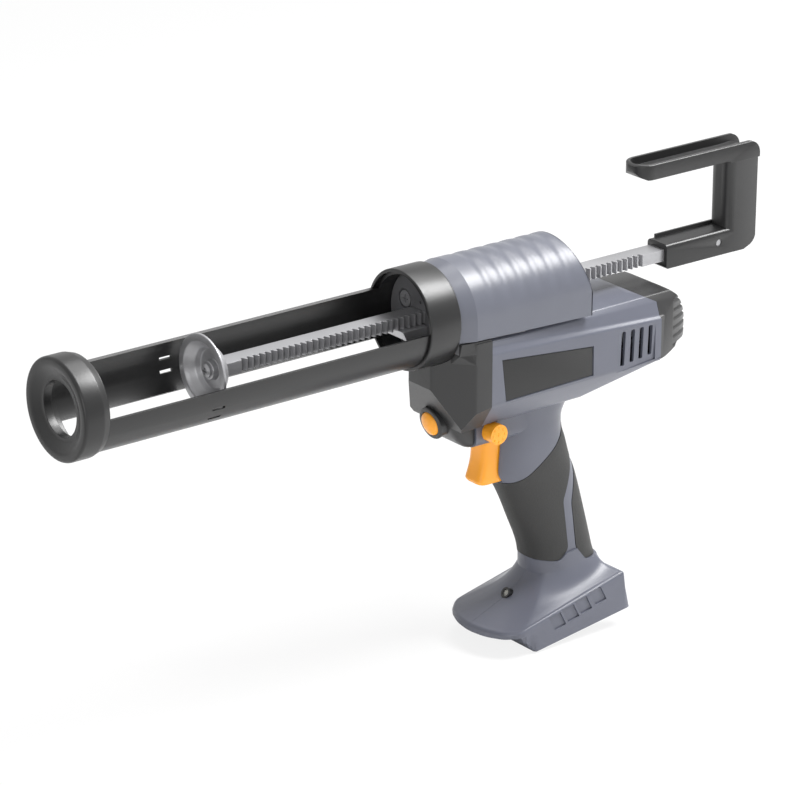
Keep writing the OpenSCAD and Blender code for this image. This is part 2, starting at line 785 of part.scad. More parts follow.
module motor_magnets() {
    color([0.25, 0.25, 0.27]) motor_axis() for (side = [0, 180]) rotate([side, 0, 0])
        intersection() {
            turned() polygon([[magnet_r0, motor_x0 + 8], [motor_r - can_wall - press_gap, motor_x0 + 8],
                [motor_r - can_wall - press_gap, cap_x0 - 17], [magnet_r0, cap_x0 - 17]]);
            along_x(motor_x0, cap_x0) polygon([[0, 0], [-motor_r, motor_r], [-motor_r, 2 * motor_r],
                [motor_r, 2 * motor_r], [motor_r, motor_r]]);
        }
}

core_x0 = motor_x0 + 12;
core_x1 = cap_x0 - 21;

module rotor() {
    core_r = magnet_r0 - 0.7;
    color([0.55, 0.4, 0.28]) motor_axis() {
        rod_along_x(motor_shaft_r, motor_x0 - 3.5, cap_x0 + 4);
        difference() {
            rod_along_x(core_r, core_x0, core_x1);
            for (a = [0 : 72 : 288]) rotate([a, 0, 0])
                box([core_x0 - 1, -1.2, core_r - 5], [core_x1 + 1, 1.2, core_r + 1]);
        }
        rod_along_x(4.2, cap_x0 - 10, cap_x0 - 2.4);
    }
}

module motor_fan() {
    fan_r = magnet_r0 - 0.7;
    color(dark) motor_axis() {
        difference() {
            union() {
                rod_along_x(fan_r, core_x1 + 1, core_x1 + 2.2);
                for (a = [0 : 45 : 315]) rotate([a, 0, 0])
                    box([core_x1 + 1, -0.6, 3], [core_x1 + 7, 0.6, fan_r - 0.5]);
                rod_along_x(4, core_x1 + 1, core_x1 + 7);
            }
            rod_along_x(motor_shaft_r + press_gap, core_x1, core_x1 + 8);
        }
    }
}

module motor_bearing(x0, x1) {
    turned() polygon([[motor_shaft_r + run_fit, x0], [5, x0], [5, x1], [motor_shaft_r + run_fit, x1]]);
}

module motor_bearings() {
    color(steel) motor_axis() {
        motor_bearing(motor_x0 - 2, motor_x0 + 2);
        motor_bearing(cap_x0 - 1.5, cap_x0 + 2.5);
    }
}

module motor_end_bell() {
    bell_h = 3;
    color(black) motor_axis() difference() {
        union() {
            rod_along_x(motor_r - can_wall - press_gap, cap_x0 - 2, cap_x0);
            rod_along_x(motor_r, cap_x0, cap_x0 + bell_h - 0.5);
            rod_along_x(7, cap_x0, cap_x0 + bell_h + 0.5);
        }
        rod_along_x(5 + press_gap, cap_x0 - 1.5, cap_x0 + bell_h - 0.5);
        rod_along_x(motor_shaft_r + 0.6, cap_x0 - 4, cap_x0 + 10);
        for (side = [-1, 1]) box([cap_x0 - 3, -6.2, side * 10 - 1.3], [cap_x0 + 10, -3.8, side * 10 + 1.3]);
    }
}

module motor_brushes() {
    color([0.72, 0.5, 0.25]) motor_axis() for (side = [-1, 1]) {
        box([cap_x0 - 9, -2.4, side > 0 ? 4.3 : -8.5], [cap_x0 - 4, 2.4, side > 0 ? 8.5 : -4.3]);
        box([cap_x0 - 4, -6.1, side * 10 - 1.2], [cap_x0 + 8, -3.9, side * 10 + 1.2]);
        box([cap_x0 - 5, -6.1, side > 0 ? 7 : -11.2], [cap_x0 - 4, 2.4, side > 0 ? 11.2 : -7]);
    }
}

// Housing

module tunnel_section(r) {
    intersection() {
        union() {
            circle(r = r);
            translate([-r, -deck_z]) square([2 * r, deck_z]);
        }
        translate([-r, -deck_z]) square([2 * r, deck_z + r]);
    }
}

module gear_tunnel() {
    scallops = 6;
    fade = 2.4;
    groove_r = 3.6;
    flare = 1.3;
    first = tunnel_x0 + 24;
    pitch = 11;
    rake_z = -deck_z + 5;
    color(tunnel_grey) difference() {
        intersection() {
            along_x(tunnel_x0, tunnel_x1) tunnel_section(tunnel_r);
            union() {
                turned() polygon([[0, tunnel_x0], [tunnel_r - flare, tunnel_x0], [tunnel_r + flare, tunnel_x0 + band_len],
                    [2 * tunnel_r, tunnel_x0 + band_len], [2 * tunnel_r, tunnel_x1], [0, tunnel_x1]]);
                box([tunnel_x0, -2 * tunnel_r, -deck_z], [tunnel_x1, 2 * tunnel_r, 0]);
            }
        }
        beyond([tunnel_x1, 0, rake_z], [1, 0, tunnel_rake]);
        difference() {
            along_x(tunnel_x0 - 1, tunnel_x1 - tunnel_wall) tunnel_section(tunnel_r - tunnel_wall);
            beyond([tunnel_x1 - tunnel_wall, 0, rake_z], [1, 0, tunnel_rake]);
        }
        box([tunnel_x0 - 1, -tunnel_r + tunnel_wall, -deck_z - 1],
            [tunnel_x1 - tunnel_wall, tunnel_r - tunnel_wall, -deck_z + 1]);
        rack_slot(tunnel_x0, tunnel_x1 + 1, free);
        for (i = [0 : scallops - 1])
            translate([first + i * pitch, 0, -fade]) rotate([0, 90, 0])
                rotate_extrude() translate([tunnel_r + fade + groove_r - scallop_depth, 0]) circle(r = groove_r);
    }
}

// Outer form of the body: plan, side view and sloping flanks
body_top = -13;
body_low = -67;
side_taper = atan(2 / (cap_x0 - seam_x));
belly_x = tunnel_x1 - 4;
belly_rise = tan(14);

module body_form(x0, x1, inset) {
    half = body_half - inset;
    rear_half = half - 2;
    side = 2 * body_half;
    flank_run = 80 / (cap_x0 - seam_x);
    low = body_low + inset;
    difference() {
        intersection() {
            along_z(low, body_top - inset) polygon([[seam_x, -half], [seam_x, half],
                [cap_x0, rear_half], [x1 + 1, rear_half], [x1 + 1, -rear_half], [cap_x0, -rear_half]]);
            along_y(-side, side) polygon([[seam_x, body_top], [seam_x, low], [belly_x, low],
                [cap_x0, low + (cap_x0 - belly_x) * belly_rise],
                [cap_x1 + 1, low + (cap_x0 - belly_x) * belly_rise], [cap_x1 + 1, body_top]]);
        }
        for (s = [-1, 1]) {
            beyond([seam_x, s * half, -deck_z], [flank_run, s * 13, 6]);
            beyond([seam_x, s * half, -53], [0, s * 14, -9]);
        }
        box([x1, -side, -200], [x1 + 10, side, 0]);
        box([0, -side, -200], [x0, side, 0]);
    }
}

// Web and handle: front, back, half width, height and squareness of each ring
web_top = -52;
handle_stack = [
    [seam_x - 3, cap_x0 - 18, grip_half + 4.5, web_top, 3],
    [seam_x - 3, cap_x0 - 42, grip_half + 2.6, -61, 2.8],
    [seam_x - 3, cap_x0 - 50, grip_half + 0.6, -69, 2.6],
    [seam_x - 3, cap_x0 - 52.8, grip_half - 0.5, -78, 2.5],
    [seam_x - 2, cap_x0 - 53.2, grip_half - 0.3, -80.5, 2.5],
    [seam_x + 19, cap_x0 - 53.2, grip_half, -82, 2.5],
    [seam_x + 20, cap_x0 - 50, grip_half, -92, 2.5],
    [seam_x + 25.5, cap_x0 - 44.3, grip_half - 0.3, -108, 2.4],
    [seam_x + 29, cap_x0 - 42, grip_half - 0.4, -114, 2.4],
    [seam_x + 40.5, cap_x0 - 34.2, grip_half - 0.2, -140, 2.4],
    [seam_x + 49.5, cap_x0 - 27.5, grip_half + 0.2, -163, 2.4],
    [seam_x + 51, cap_x0 - 23.5, grip_half + 1.6, -neck_z, 2.5],
    [seam_x + 52.5, cap_x0 - 23.5, grip_half + 2.2, -neck_z - 7, 2.5]];

// Foot, in a frame of its own on the bottom face, pitched with the foot
foot_x = seam_x + 33.5;
foot_z = -neck_z - 34.3;
skirt_h = 17.3;
nose_h = 12.6;
nose_side = 8.9;
roof_rise = 0.093;
roof_slope = 0.27;
foot_neck = [seam_x + 52.5 - foot_x, cap_x0 - 23.5 - foot_x];
slot_half = foot_half - 5;
rail_in = 3;
rail_h = 4;
slot_u0 = 4;

module foot_pose() {
    translate([foot_x, 0, foot_z]) rotate([0, -foot_pitch, 0]) children();
}

// Plan of the foot: straight sides, cut rear corners and a rounded nose
module foot_plan(grow, nose) {
    half = foot_half + grow;
    corner = 3;
    rear = foot_len + grow;
    front = nose_side + grow;
    round_len = nose_reach - nose_side;
    polygon(concat([[rear - corner, -half], [rear, -half + corner], [rear, half - corner], [rear - corner, half]],
        nose ? [for (a = [0 : 15 : 180]) [-front - round_len * pow(sin(a), 0.8), half * cos(a)]]
             : [[-front, half], [-front, -half]]));
}

// Foot with a roof that rises to the rear and falls to the sides, and a neck that flares into it
module foot_form(inset) {
    roof = skirt_h + 30;
    half = foot_half - inset;
    difference() {
        union() {
            intersection() {
                linear_extrude(roof) foot_plan(-inset, false);
                along_y(-foot_half, foot_half) polygon([[inset * 1.2, 0], [inset * 1.2 - nose_side, nose_h],
                    [inset * 1.2 - nose_side, roof], [foot_len, roof], [foot_len, 0]]);
            }
            translate([0, 0, nose_h + inset]) linear_extrude(roof - nose_h) foot_plan(-inset, true);
        }
        beyond([-nose_reach, 0, skirt_h - inset * 1.2], [-0.6, 0, 1]);
        for (s = [-1, 1]) {
            beyond([0, s * half, skirt_h - inset], [-roof_rise, s * roof_slope, 1]);
            beyond([0, s * half, skirt_h - 1.6 - inset], [-roof_rise, s * 0.95, 1]);
        }
    }
    if (inset == 0) foot_flare();
}

// Flare between the roof and the handle's neck, in two slopes
module foot_flare() {
    neck_u = (foot_neck[0] + foot_neck[1]) / 2;
    neck_len = foot_neck[1] - foot_neck[0];
    intersection() {
        for (k = [[0, 22, 9, 5], [5, 28, 4, 1.5]]) hull() {
            translate([neck_u - k[2] / 2 - 1, 0, k[1] - 3]) rotate([0, -4, 0]) linear_extrude(0.5)
                round_rect(neck_len + k[2], 2 * (grip_half + k[2] - 1), 14);
            translate([neck_u - k[3] / 2, 0, k[1] + 2.5]) rotate([0, -4, 0]) linear_extrude(0.5)
                round_rect(neck_len + k[3] - 2, 2 * (grip_half + k[3] - 0.5), 14);
        }
        linear_extrude(far) foot_plan(0, false);
    }
}

// Battery slot, open below and at the rear, with a rail along each side
module battery_slot() {
    rear = foot_len + 10;
    box([slot_u0, -slot_half + rail_in, -1], [rear, slot_half - rail_in, slot_depth]);
    box([slot_u0, -slot_half, rail_h], [rear, slot_half, slot_depth]);
}

// Stations of the controls
lock_x = seam_x + 10;
lock_z = -72.7;
trigger_top = -82.6;
trigger_low = -109;
trigger_front = seam_x + 13;
trigger_back = seam_x + 29;
switch_x0 = trigger_back + trigger_travel + 5;
switch_len = 21;
switch_half = 8;
switch_z = [-107, -85];
stem_r = 3;
stem_z = -94;
tab_half = 2;
tab_len = 4;
tab_top = lock_z - lock_r + 2.2;
light_u = 6.5;
light_w = 25;
light_r = 2.1;

// Housing screws, from the right side into bosses in the left shell
screw_posts = [[seam_x + 12, -59], [belly_x + 6, -58], [cap_x0 - 56.5, -99], [cap_x0 - 50, -158]];
post_r = 3.4;
post_screw_r = 1.5;

// Label panel outline on the side of the body
panel_outline = [[6, -26.1], [71.5, -32.2], [72, -49.1], [10, -50.2]];
panel_t = 1;

module side_pose() {
    translate([seam_x, -body_half, 0]) rotate([0, 0, side_taper]) children();
}

// Regions of the rubber grip, seen from the side
front_grip_side = [[seam_x, -111], [seam_x + 29, -111], [seam_x + 37, -108], [seam_x + 47, -101.5],
    [seam_x + 57, -94], [seam_x + 65, -86], [seam_x + 71, -78], [seam_x + 90, -78], [seam_x + 90, -98],
    [seam_x + 74.5, -104], [seam_x + 64, -128.5], [seam_x + 68, -159], [seam_x + 62, -165.5], [seam_x + 20, -162.5]];
rear_grip_side = [[seam_x + 90, -107], [seam_x + 77.5, -107], [seam_x + 70.5, -131], [seam_x + 73.5, -160],
    [seam_x + 80.5, -168.5], [seam_x + 110, -171]];
grip_t = 1.5;

// Stepped finger recesses along each side of the foot
module foot_recesses() {
    recess = 0.9;
    start = [15.8, 7.9];
    step = [10.3, 1.2];
    for (s = [-1, 1], k = [0 : 3]) translate([start[0] + k * step[0], s * foot_half, start[1] + k * step[1]])
        along_y(-recess, recess) polygon([[0, 0], [8.4, 0.4], [5, 8.6], [-3.4, 8.2]]);
}

// Through holes for the housing screws and their sunk heads
module screw_holes() {
    for (p = screw_posts) translate([p[0], 0, p[1]]) {
        rod_along_y(post_screw_r + press_gap, -12, 100);
        rod_along_y(3.3, 12.2, 100);
    }
}

module grip_layer(region, depth) {
    intersection() {
        along_y(-2 * grip_half, 2 * grip_half) polygon(region);
        difference() {
            loft(handle_stack);
            loft(handle_stack, -depth);
        }
    }
}

// Upright wall across the body with an opening for what it holds
module rib(x0, x1) {
    intersection() {
        body_form(seam_x, cap_x0, shell_wall - 0.3);
        box([x0, -100, -100], [x1, 100, 0]);
    }
}

module shell_solid() {
    vent_pitch = 6.8;
    vent_x = cap_x0 - 25;
    vent_z = -38.5;
    pocket = trigger_w / 2 + 0.35;
    difference() {
        union() {
            difference() {
                union() {
                    body_form(seam_x, cap_x0, 0);
                    loft(handle_stack);
                    foot_pose() foot_form(0);
                }
                body_form(seam_x - 1, cap_x0 + 1, shell_wall);
                loft(handle_stack, -shell_wall);
                intersection() {
                    foot_pose() foot_form(shell_wall);
                    foot_pose() translate([-200, -200, slot_depth + shell_wall]) cube(400);
                }
                foot_pose() battery_slot();
            }
            difference() {
                union() {
                    rib(seam_x + 6, seam_x + 8);
                    rib(motor_x0 + 5, motor_x0 + 7);
                    rib(cap_x0 - 5, cap_x0 - 3);
                }
                motor_axis() rod_along_x(motor_r + 0.1, seam_x - 1, cap_x0 + 1);
                along_z(-motor_z - motor_r, 0) translate([(head_x0 + head_x1) / 2, 0])
                    square([head_x1 - head_x0 + 0.2, 2 * head_r + 0.2], center = true);
            }
            intersection() {
                for (p = screw_posts) translate([p[0], 0, p[1]]) rod_along_y(post_r, -body_half, body_half);
                union() {
                    body_form(seam_x, cap_x0, slip);
                    loft(handle_stack, -slip);
                }
            }
            for (s = [-1, 1], x = [switch_x0 + 3, switch_x0 + switch_len - 5])
                box([x, s > 0 ? switch_half + 0.1 : -grip_half + 1, switch_z[0] + 2],
                    [x + 2, s > 0 ? grip_half - 1 : -switch_half - 0.1, switch_z[1] - 2]);
        }
        box([0, -100, -200], [seam_x, 100, -20]);
        box([0, -100, -deck_z], [tunnel_x1 + slip, 100, 0]);
        screw_holes();
        foot_pose() foot_recesses();
        for (i = [0 : 3], s = [-1, 1]) translate([vent_x + i * vent_pitch, 0, vent_z])
            box([-vent_w / 2, s > 0 ? 20 : -40, -vent_h / 2], [vent_w / 2, s > 0 ? 40 : -20, vent_h / 2]);
        side_pose() along_y(-1, panel_t + press_gap) polygon(panel_outline);
        mirror([0, 1, 0]) side_pose() along_y(-1, panel_t + press_gap) polygon(panel_outline);
        grip_layer(front_grip_side, grip_t + press_gap);
        grip_layer(rear_grip_side, grip_t + press_gap);
        box([seam_x, -pocket, trigger_low - 1], [trigger_back + trigger_travel + 0.5, pocket, trigger_top + 0.4]);
        box([0, -tab_half - 0.3, trigger_low],
            [trigger_front + tab_len + trigger_travel + free, tab_half + 0.3, lock_z]);
        translate([lock_x, 0, lock_z]) rod_along_y(lock_r + run_fit, -100, 100);
        foot_pose() light_pose() translate([0, 0, -8]) cylinder(r = light_r + 1.2 + press_gap, h = 20);
    }
}

module left_shell() {
    color(shell_grey) intersection() {
        shell_solid();
        box([0, -far, -far], [far, 0, far]);
    }
}

module right_shell() {
    color(shell_grey) intersection() {
        shell_solid();
        box([0, 0, -far], [far, far, far]);
    }
}

module shell_screws() {
    head_h = 2;
    color(steel) for (p = screw_posts) translate([p[0], 0, p[1]]) difference() {
        union() {
            rod_along_y(post_screw_r, -11, 12);
            rod_along_y(2.9, 12.2, 12.2 + head_h);
            rod_along_y(post_screw_r, 11, 13);
        }
        translate([0, 12.2 + head_h, 0]) rotate([0, 0, -90]) cross_recess(3.4, 1.2);
    }
}

module side_panel() {
    color(black) side_pose() along_y(0, panel_t) polygon(panel_outline);
}

module left_panel() { side_panel(); }
module right_panel() { mirror([0, 1, 0]) side_panel(); }

module front_grip() {
    color(rubber) difference() {
        grip_layer(front_grip_side, grip_t);
        screw_holes();
    }
}

module rear_grip() {
    color(rubber) difference() {
        grip_layer(rear_grip_side, grip_t);
        screw_holes();
    }
}

// Front cover: faceted nose under the collar, chin, fairing and button boss
cover_x0 = collar_x1 - 6.8;
chin_half = 11;
boss_x = cover_x0 + 8.2;
boss_z = -66.3;
boss_tilt = 12;
boss_out_r = release_r + 2.6;

module release_pose() {
    translate([boss_x, 0, boss_z]) rotate([0, -90 - boss_tilt, 0]) children();
}

module cover_plan(inset) {
    nose_half = 10 - inset * 0.4;
    knee = [cover_x0 + 12.5 + inset, 22.3 - inset * 0.4];
    cheek = [cover_x0 + 20 + inset, body_half - inset];
    polygon([[cover_x0 + inset, -nose_half], [knee[0], -knee[1]], [cheek[0], -cheek[1]], [seam_x + 1, -cheek[1]],
        [seam_x + 1, cheek[1]], [cheek[0], cheek[1]], [knee[0], knee[1]], [cover_x0 + inset, nose_half]]);
}

module front_cover() {
    floor_z = -56;
    color(dark) difference() {
        union() {
            difference() {
                along_z(-66, -deck_z) cover_plan(0);
                for (s = [-1, 1]) {
                    beyond([cover_x0 + 12.5, s * 22.3, -65], [-2.16, s * 0.63, -0.85]);
                    beyond([cover_x0 + 12.5, s * 22.3, -65], [0.28, s * 0.32, -1]);
                }
            }
            along_y(-chin_half, chin_half) polygon([[cover_x0, -40], [cover_x0, -60], [cover_x0 + 8, -60.5],
                [seam_x, -62], [seam_x, -40]]);
            along_y(-14, 14) polygon([[cover_x0 + 12, -58], [cover_x0 + 18, -72], [cover_x0 + 23, -78],
                [cover_x0 + 29, -81.8], [seam_x + 1, -82], [seam_x + 1, -58]]);
            release_pose() translate([0, 0, -17]) cylinder(r = boss_out_r, h = 17);
        }
        along_z(floor_z, 0) cover_plan(shell_wall);
        rod_along_x(collar_r + free, 0, collar_x1 + slip);
        box([0, -100, -deck_z], [1000, 100, 100]);
        box([seam_x, -100, -200], [1000, 100, 100]);
        along_x(seam_x - 12, seam_x + 1) translate([0, -70]) square([20, 18], center = true);
        release_pose() {
            translate([0, 0, -12]) cylinder(r = release_r + run_fit, h = 20);
            translate([0, 0, -40]) cylinder(r = 2.8, h = 40);
        }
    }
}

// Rear cap: rounded in plan, with cooling grooves across the back
module cap_plan(inset) {
    half = body_half - 2 - inset;
    steps = 16;
    polygon([for (i = [-steps : steps]) let (y = half * sin(90 * i / steps))
        [cap_x0 + (cap_len - inset) * (1 - pow(abs(y) / half, 3)), y]]);
}

// Side view of the cap as shares of its length and drops below the deck
cap_side = [[0.34, 0], [0.46, 2.6], [0.62, 7], [0.76, 13], [0.88, 20.5], [0.97, 29], [1, 35], [0.99, 41],
    [0.95, 46.5], [0.88, 54]];

module cap_form(inset) {
    intersection() {
        body_form(cap_x0 - 1, cap_x1, inset);
        along_z(-100, 0) union() {
            cap_plan(inset);
            translate([cap_x0 - 2, -body_half]) square([2.01, 2 * body_half]);
        }
        along_y(-100, 100) polygon(concat([[cap_x0 - 1, body_top - inset]],
            [for (p = cap_side) [cap_x0 + p[0] * (cap_len - inset), body_top - inset - p[1]]], [[cap_x0 - 1, -100]]));
    }
}

module rear_cap() {
    grooves = 6;
    groove_pitch = 5.4;
    groove_w = 2.4;
    groove_depth = 1.4;
    rim = 3;
    shoulder = 2;
    rim_wall = 1.45;
    skin = 1;
    color(dark) difference() {
        union() {
            difference() {
                cap_form(0);
                box([0, -100, -100], [cap_x0, 100, 0]);
                cap_form(shell_wall);
            }
            difference() {
                union() {
                    body_form(cap_x0 - rim, cap_x0 + shoulder, shell_wall + 0.15);
                    body_form(cap_x0, cap_x0 + shoulder, skin);
                }
                body_form(cap_x0 - rim - 1, cap_x0 + shoulder + 1, shell_wall + rim_wall + 0.15);
                motor_axis() rod_along_x(motor_r + free, cap_x0 - rim - 1, cap_x0 + shoulder + 1);
            }
        }
        for (i = [0 : grooves - 1]) difference() {
            box([cap_x0 + 0.45 * cap_len, -100, -50 + i * groove_pitch],
                [cap_x1 + 1, 100, -50 + i * groove_pitch + groove_w]);
            along_z(-100, 0) cap_plan(groove_depth);
        }
    }
}

// Controls

module trigger() {
    steps = 8;
    lean = 3.5;
    hollow = 1.3;
    corner = 5;
    half = trigger_w / 2;
    front = trigger_front;
    pin_low = lock_z - lock_r;
    knee_z = trigger_low + 5;
    color(orange) union() {
        intersection() {
            along_y(-half, half) polygon(concat(
                [for (i = [0 : steps]) let (t = i / steps)
                    [front - lean * t + hollow * sin(180 * t), trigger_top + (knee_z - trigger_top) * t]],
                [[front - lean + 2, knee_z - 2.4], [front - lean + 7, trigger_low + 0.7],
                 [front - lean + 13, trigger_low], [trigger_back, trigger_low], [trigger_back, trigger_top]]));
            along_z(trigger_low, trigger_top) union() {
                translate([front - lean - 0.5 + corner, 0]) {
                    for (s = [-1, 1]) translate([0, s * (half - corner)]) circle(r = corner);
                    translate([-corner, -half + corner]) square([2 * corner, trigger_w - 2 * corner]);
                }
                translate([front - lean - 0.5 + corner, -half]) square([40, trigger_w]);
            }
        }
        along_y(-tab_half, tab_half) polygon([[lock_x - 7.4, trigger_top], [front + tab_len, trigger_top - 0.5],
            [front + tab_len, pin_low - free], [lock_x - 4.2, pin_low - free], [lock_x - 6.2, tab_top],
            [lock_x - 9.5, tab_top]]);
        translate([0, 0, stem_z]) rod_along_x(stem_r, trigger_back - 0.5, switch_x0 + 4);
    }
}

module trigger_spring() {
    color(steel) translate([trigger_back + 0.1, 0, stem_z]) coil(stem_r + 1.1, 0.4, switch_x0 - trigger_back - 0.2, 6);
}

module trigger_switch() {
    color(black) difference() {
        box([switch_x0, -switch_half, switch_z[0]], [switch_x0 + switch_len, switch_half, switch_z[1]]);
        translate([0, 0, stem_z]) rod_along_x(stem_r + run_fit, switch_x0 - 1, switch_x0 + trigger_travel + 6);
        box([switch_x0 + switch_len - 4, -switch_half + 2, switch_z[0] - 1],
            [switch_x0 + switch_len + 1, switch_half - 2, switch_z[0] + 5]);
    }
}

module lock_pin() {
    near = -24.5;
    core_r = lock_r - 2.7;
    grip_dots = 8;
    dot_h = 0.4;
    groove_near = -tab_half - 0.4 - lock_travel + lock_engage;
    color(orange) translate([lock_x, 0, lock_z]) difference() {
        union() {
            rod_along_y(lock_r, near, near + lock_len);
            rod_along_y(1, near - dot_h, near + 1);
            for (i = [0 : grip_dots - 1]) rotate([0, i * 360 / grip_dots, 0])
                translate([lock_r - 1.8, 0, 0]) rod_along_y(0.7, near - dot_h, near + 1);
        }
        difference() {
            rod_along_y(lock_r + 1, groove_near, tab_half + 0.6);
            rod_along_y(core_r, groove_near - 1, tab_half + 2);
        }
    }
}

module release_button() {
    dome = 1;
    color(orange) release_pose() {
        rotate_extrude() polygon([[0, -7], [release_r, -7], [release_r, 1.4],
            [release_r - dome, 2.4], [release_r - 3, 2.9], [0, 3.1]]);
        translate([0, 0, -17]) cylinder(r = 2.5, h = 11);
    }
}

module release_spring() {
    color(steel) release_pose() rotate([0, 90, 0]) translate([7.1, 0, 0]) coil(4.4, 0.4, 4.8, 4);
}

// Battery contacts, board and work light in the foot

module light_pose() {
    translate([light_u, 0, light_w]) rotate([0, -48, 0]) children();
}

module control_board() {
    base = slot_depth + shell_wall + 0.2;
    color([0.1, 0.3, 0.18]) foot_pose() {
        box([14, -20, base], [58, 20, base + 1.6]);
        box([20, -13, base + 1.6], [34, -3, base + 4.6]);
        box([38, 2, base + 1.6], [50, 13, base + 4.6]);
    }
}

block_u = [20, 50];
block_h = 5.5;
blade_v = [-10, -3.5, 3.5, 10];

module battery_block() {
    color(black) foot_pose() difference() {
        box([block_u[0], -15, slot_depth - block_h], [block_u[1], 15, slot_depth - press_gap]);
        for (v = blade_v) box([block_u[0] + 4, v - 0.9, slot_depth - block_h - 1], [block_u[1] + 1, v + 0.9, slot_depth - 1]);
    }
}

module battery_contacts() {
    color([0.8, 0.65, 0.35]) foot_pose() for (v = blade_v)
        box([block_u[0] + 5, v - 0.4, slot_depth - block_h + 0.3], [block_u[1] - 3, v + 0.4, slot_depth - 1 - press_gap]);
}

module light_bezel() {
    color(black) foot_pose() light_pose() difference() {
        translate([0, 0, -6]) cylinder(r = light_r + 1.2, h = 7);
        translate([0, 0, -7]) cylinder(r = light_r + press_gap, h = 9);
    }
}

module work_light() {
    color([0.9, 0.9, 0.85]) foot_pose() light_pose() {
        translate([0, 0, -5]) cylinder(r = light_r, h = 5);
        translate([0, 0, -6]) cylinder(r = light_r - 0.4, h = 1.2);
    }
}

front_ring();
ring_screw();
holder_tube();
collar();
plunger_disc();
disc_screw();
rack_rod();
hook_handle();
hook_pin();
nose_plate();
plate_screws();
rack_guide();
gear_frame();
gear_lid();
lid_screws();
shaft_bushes();
pinion_shaft();
rack_pinion();
final_wheel();
shaft_clips();
gear_head();
drive_pinion();
motor_can();
motor_magnets();
rotor();
motor_fan();
motor_bearings();
motor_end_bell();
motor_brushes();
gear_tunnel();
front_cover();
left_shell();
right_shell();
shell_screws();
rear_cap();
left_panel();
right_panel();
front_grip();
rear_grip();
trigger();
trigger_spring();
trigger_switch();
lock_pin();
release_button();
release_spring();
control_board();
battery_block();
battery_contacts();
work_light();
light_bezel();
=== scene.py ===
import math

import bmesh
import bpy
import numpy as np
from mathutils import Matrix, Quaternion, Vector


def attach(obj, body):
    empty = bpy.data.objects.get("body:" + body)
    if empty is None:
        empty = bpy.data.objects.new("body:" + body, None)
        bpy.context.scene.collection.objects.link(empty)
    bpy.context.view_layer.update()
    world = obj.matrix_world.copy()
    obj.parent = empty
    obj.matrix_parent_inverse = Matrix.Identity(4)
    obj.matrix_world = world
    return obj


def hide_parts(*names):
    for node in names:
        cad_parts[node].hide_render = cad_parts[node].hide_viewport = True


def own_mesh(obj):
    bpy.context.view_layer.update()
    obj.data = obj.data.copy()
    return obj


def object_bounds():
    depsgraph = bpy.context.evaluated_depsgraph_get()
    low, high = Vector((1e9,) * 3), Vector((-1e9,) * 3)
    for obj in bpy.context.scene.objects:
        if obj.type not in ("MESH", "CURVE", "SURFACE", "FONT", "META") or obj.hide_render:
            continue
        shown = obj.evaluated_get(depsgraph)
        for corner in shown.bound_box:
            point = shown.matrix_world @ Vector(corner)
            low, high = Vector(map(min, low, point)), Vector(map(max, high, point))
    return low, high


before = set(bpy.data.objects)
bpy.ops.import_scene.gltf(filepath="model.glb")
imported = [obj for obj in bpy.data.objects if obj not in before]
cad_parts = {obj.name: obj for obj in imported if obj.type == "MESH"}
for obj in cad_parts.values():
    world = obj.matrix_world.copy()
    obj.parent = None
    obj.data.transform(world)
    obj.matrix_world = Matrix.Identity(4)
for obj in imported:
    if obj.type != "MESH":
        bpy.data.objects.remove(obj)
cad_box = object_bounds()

# Studio. The tool stands just over a pale floor under an even white sky, seen from its front left
# and a little above through a long lens. A strong lamp stands high at its rear left, a weaker one
# at its rear right, and a weak one low at its front left.

AIM = Vector((0.2184, 0.0001, -0.0416))
TOWARDS_CAMERA = Vector((-0.5696, -0.7397, 0.3584)).normalized()
CAMERA_DISTANCE, CAMERA_ROLL, CAMERA_LENS, CAMERA_REACH = 2.330, 0.0021, 193.2, 50
SKY_LIGHT = 0.27
FLOOR_GAP, FLOOR_REACH, FLOOR_GLOW = 0.001, 3.0, 0.85
WHITE = (1, 1, 1, 1)

scene = bpy.context.scene
link = scene.collection.objects.link


def aimed(thing, place, direction, roll=0.0):
    """Sets a camera or lamp up at a place, looking in a direction."""
    thing.location = place
    thing.rotation_mode = "QUATERNION"
    thing.rotation_quaternion = direction.to_track_quat("-Z", "Y") @ Quaternion((0, 0, 1), roll)
    link(thing)


view = bpy.data.objects.new("camera", bpy.data.cameras.new("camera"))
aimed(view, AIM + CAMERA_DISTANCE * TOWARDS_CAMERA, -TOWARDS_CAMERA, CAMERA_ROLL)
view.data.lens = CAMERA_LENS
view.data.clip_end = CAMERA_REACH
scene.camera = view
scene.view_settings.view_transform = "Standard"

for name, place, size, watts in (
    ("key lamp", (1.20, -0.45, 1.42), 0.8, 52),
    ("top lamp", (0.95, 0.45, 1.7), 0.9, 12),
    ("fill lamp", (-1.25, -1.3, 0.45), 1.0, 8),
):
    lamp = bpy.data.lights.new(name, "AREA")
    lamp.size = size
    lamp.energy = watts
    aimed(bpy.data.objects.new(name, lamp), place, AIM - Vector(place))


def put(tree, kind, inputs=None, **settings):
    """New node in a tree. Each input is given a value or, from another node, a socket to link."""
    node = tree.nodes.new(kind)
    for key, value in settings.items():
        setattr(node, key, value)
    for key, value in (inputs or {}).items():
        if isinstance(value, bpy.types.NodeSocket):
            tree.links.new(value, node.inputs[key])
        else:
            node.inputs[key].default_value = value
    return node


def maths(tree, how, *values):
    """Result of one sum in a tree, of numbers or sockets."""
    return put(tree, "ShaderNodeMath", dict(enumerate(values)), operation=how).outputs[0]


def mixed(tree, share, first, second):
    """Output that goes from the first shader to the second as the share goes from 0 to 1."""
    both = {0: share, 1: first.outputs[0], 2: second.outputs[0]}
    return {0: put(tree, "ShaderNodeMixShader", both).outputs[0]}


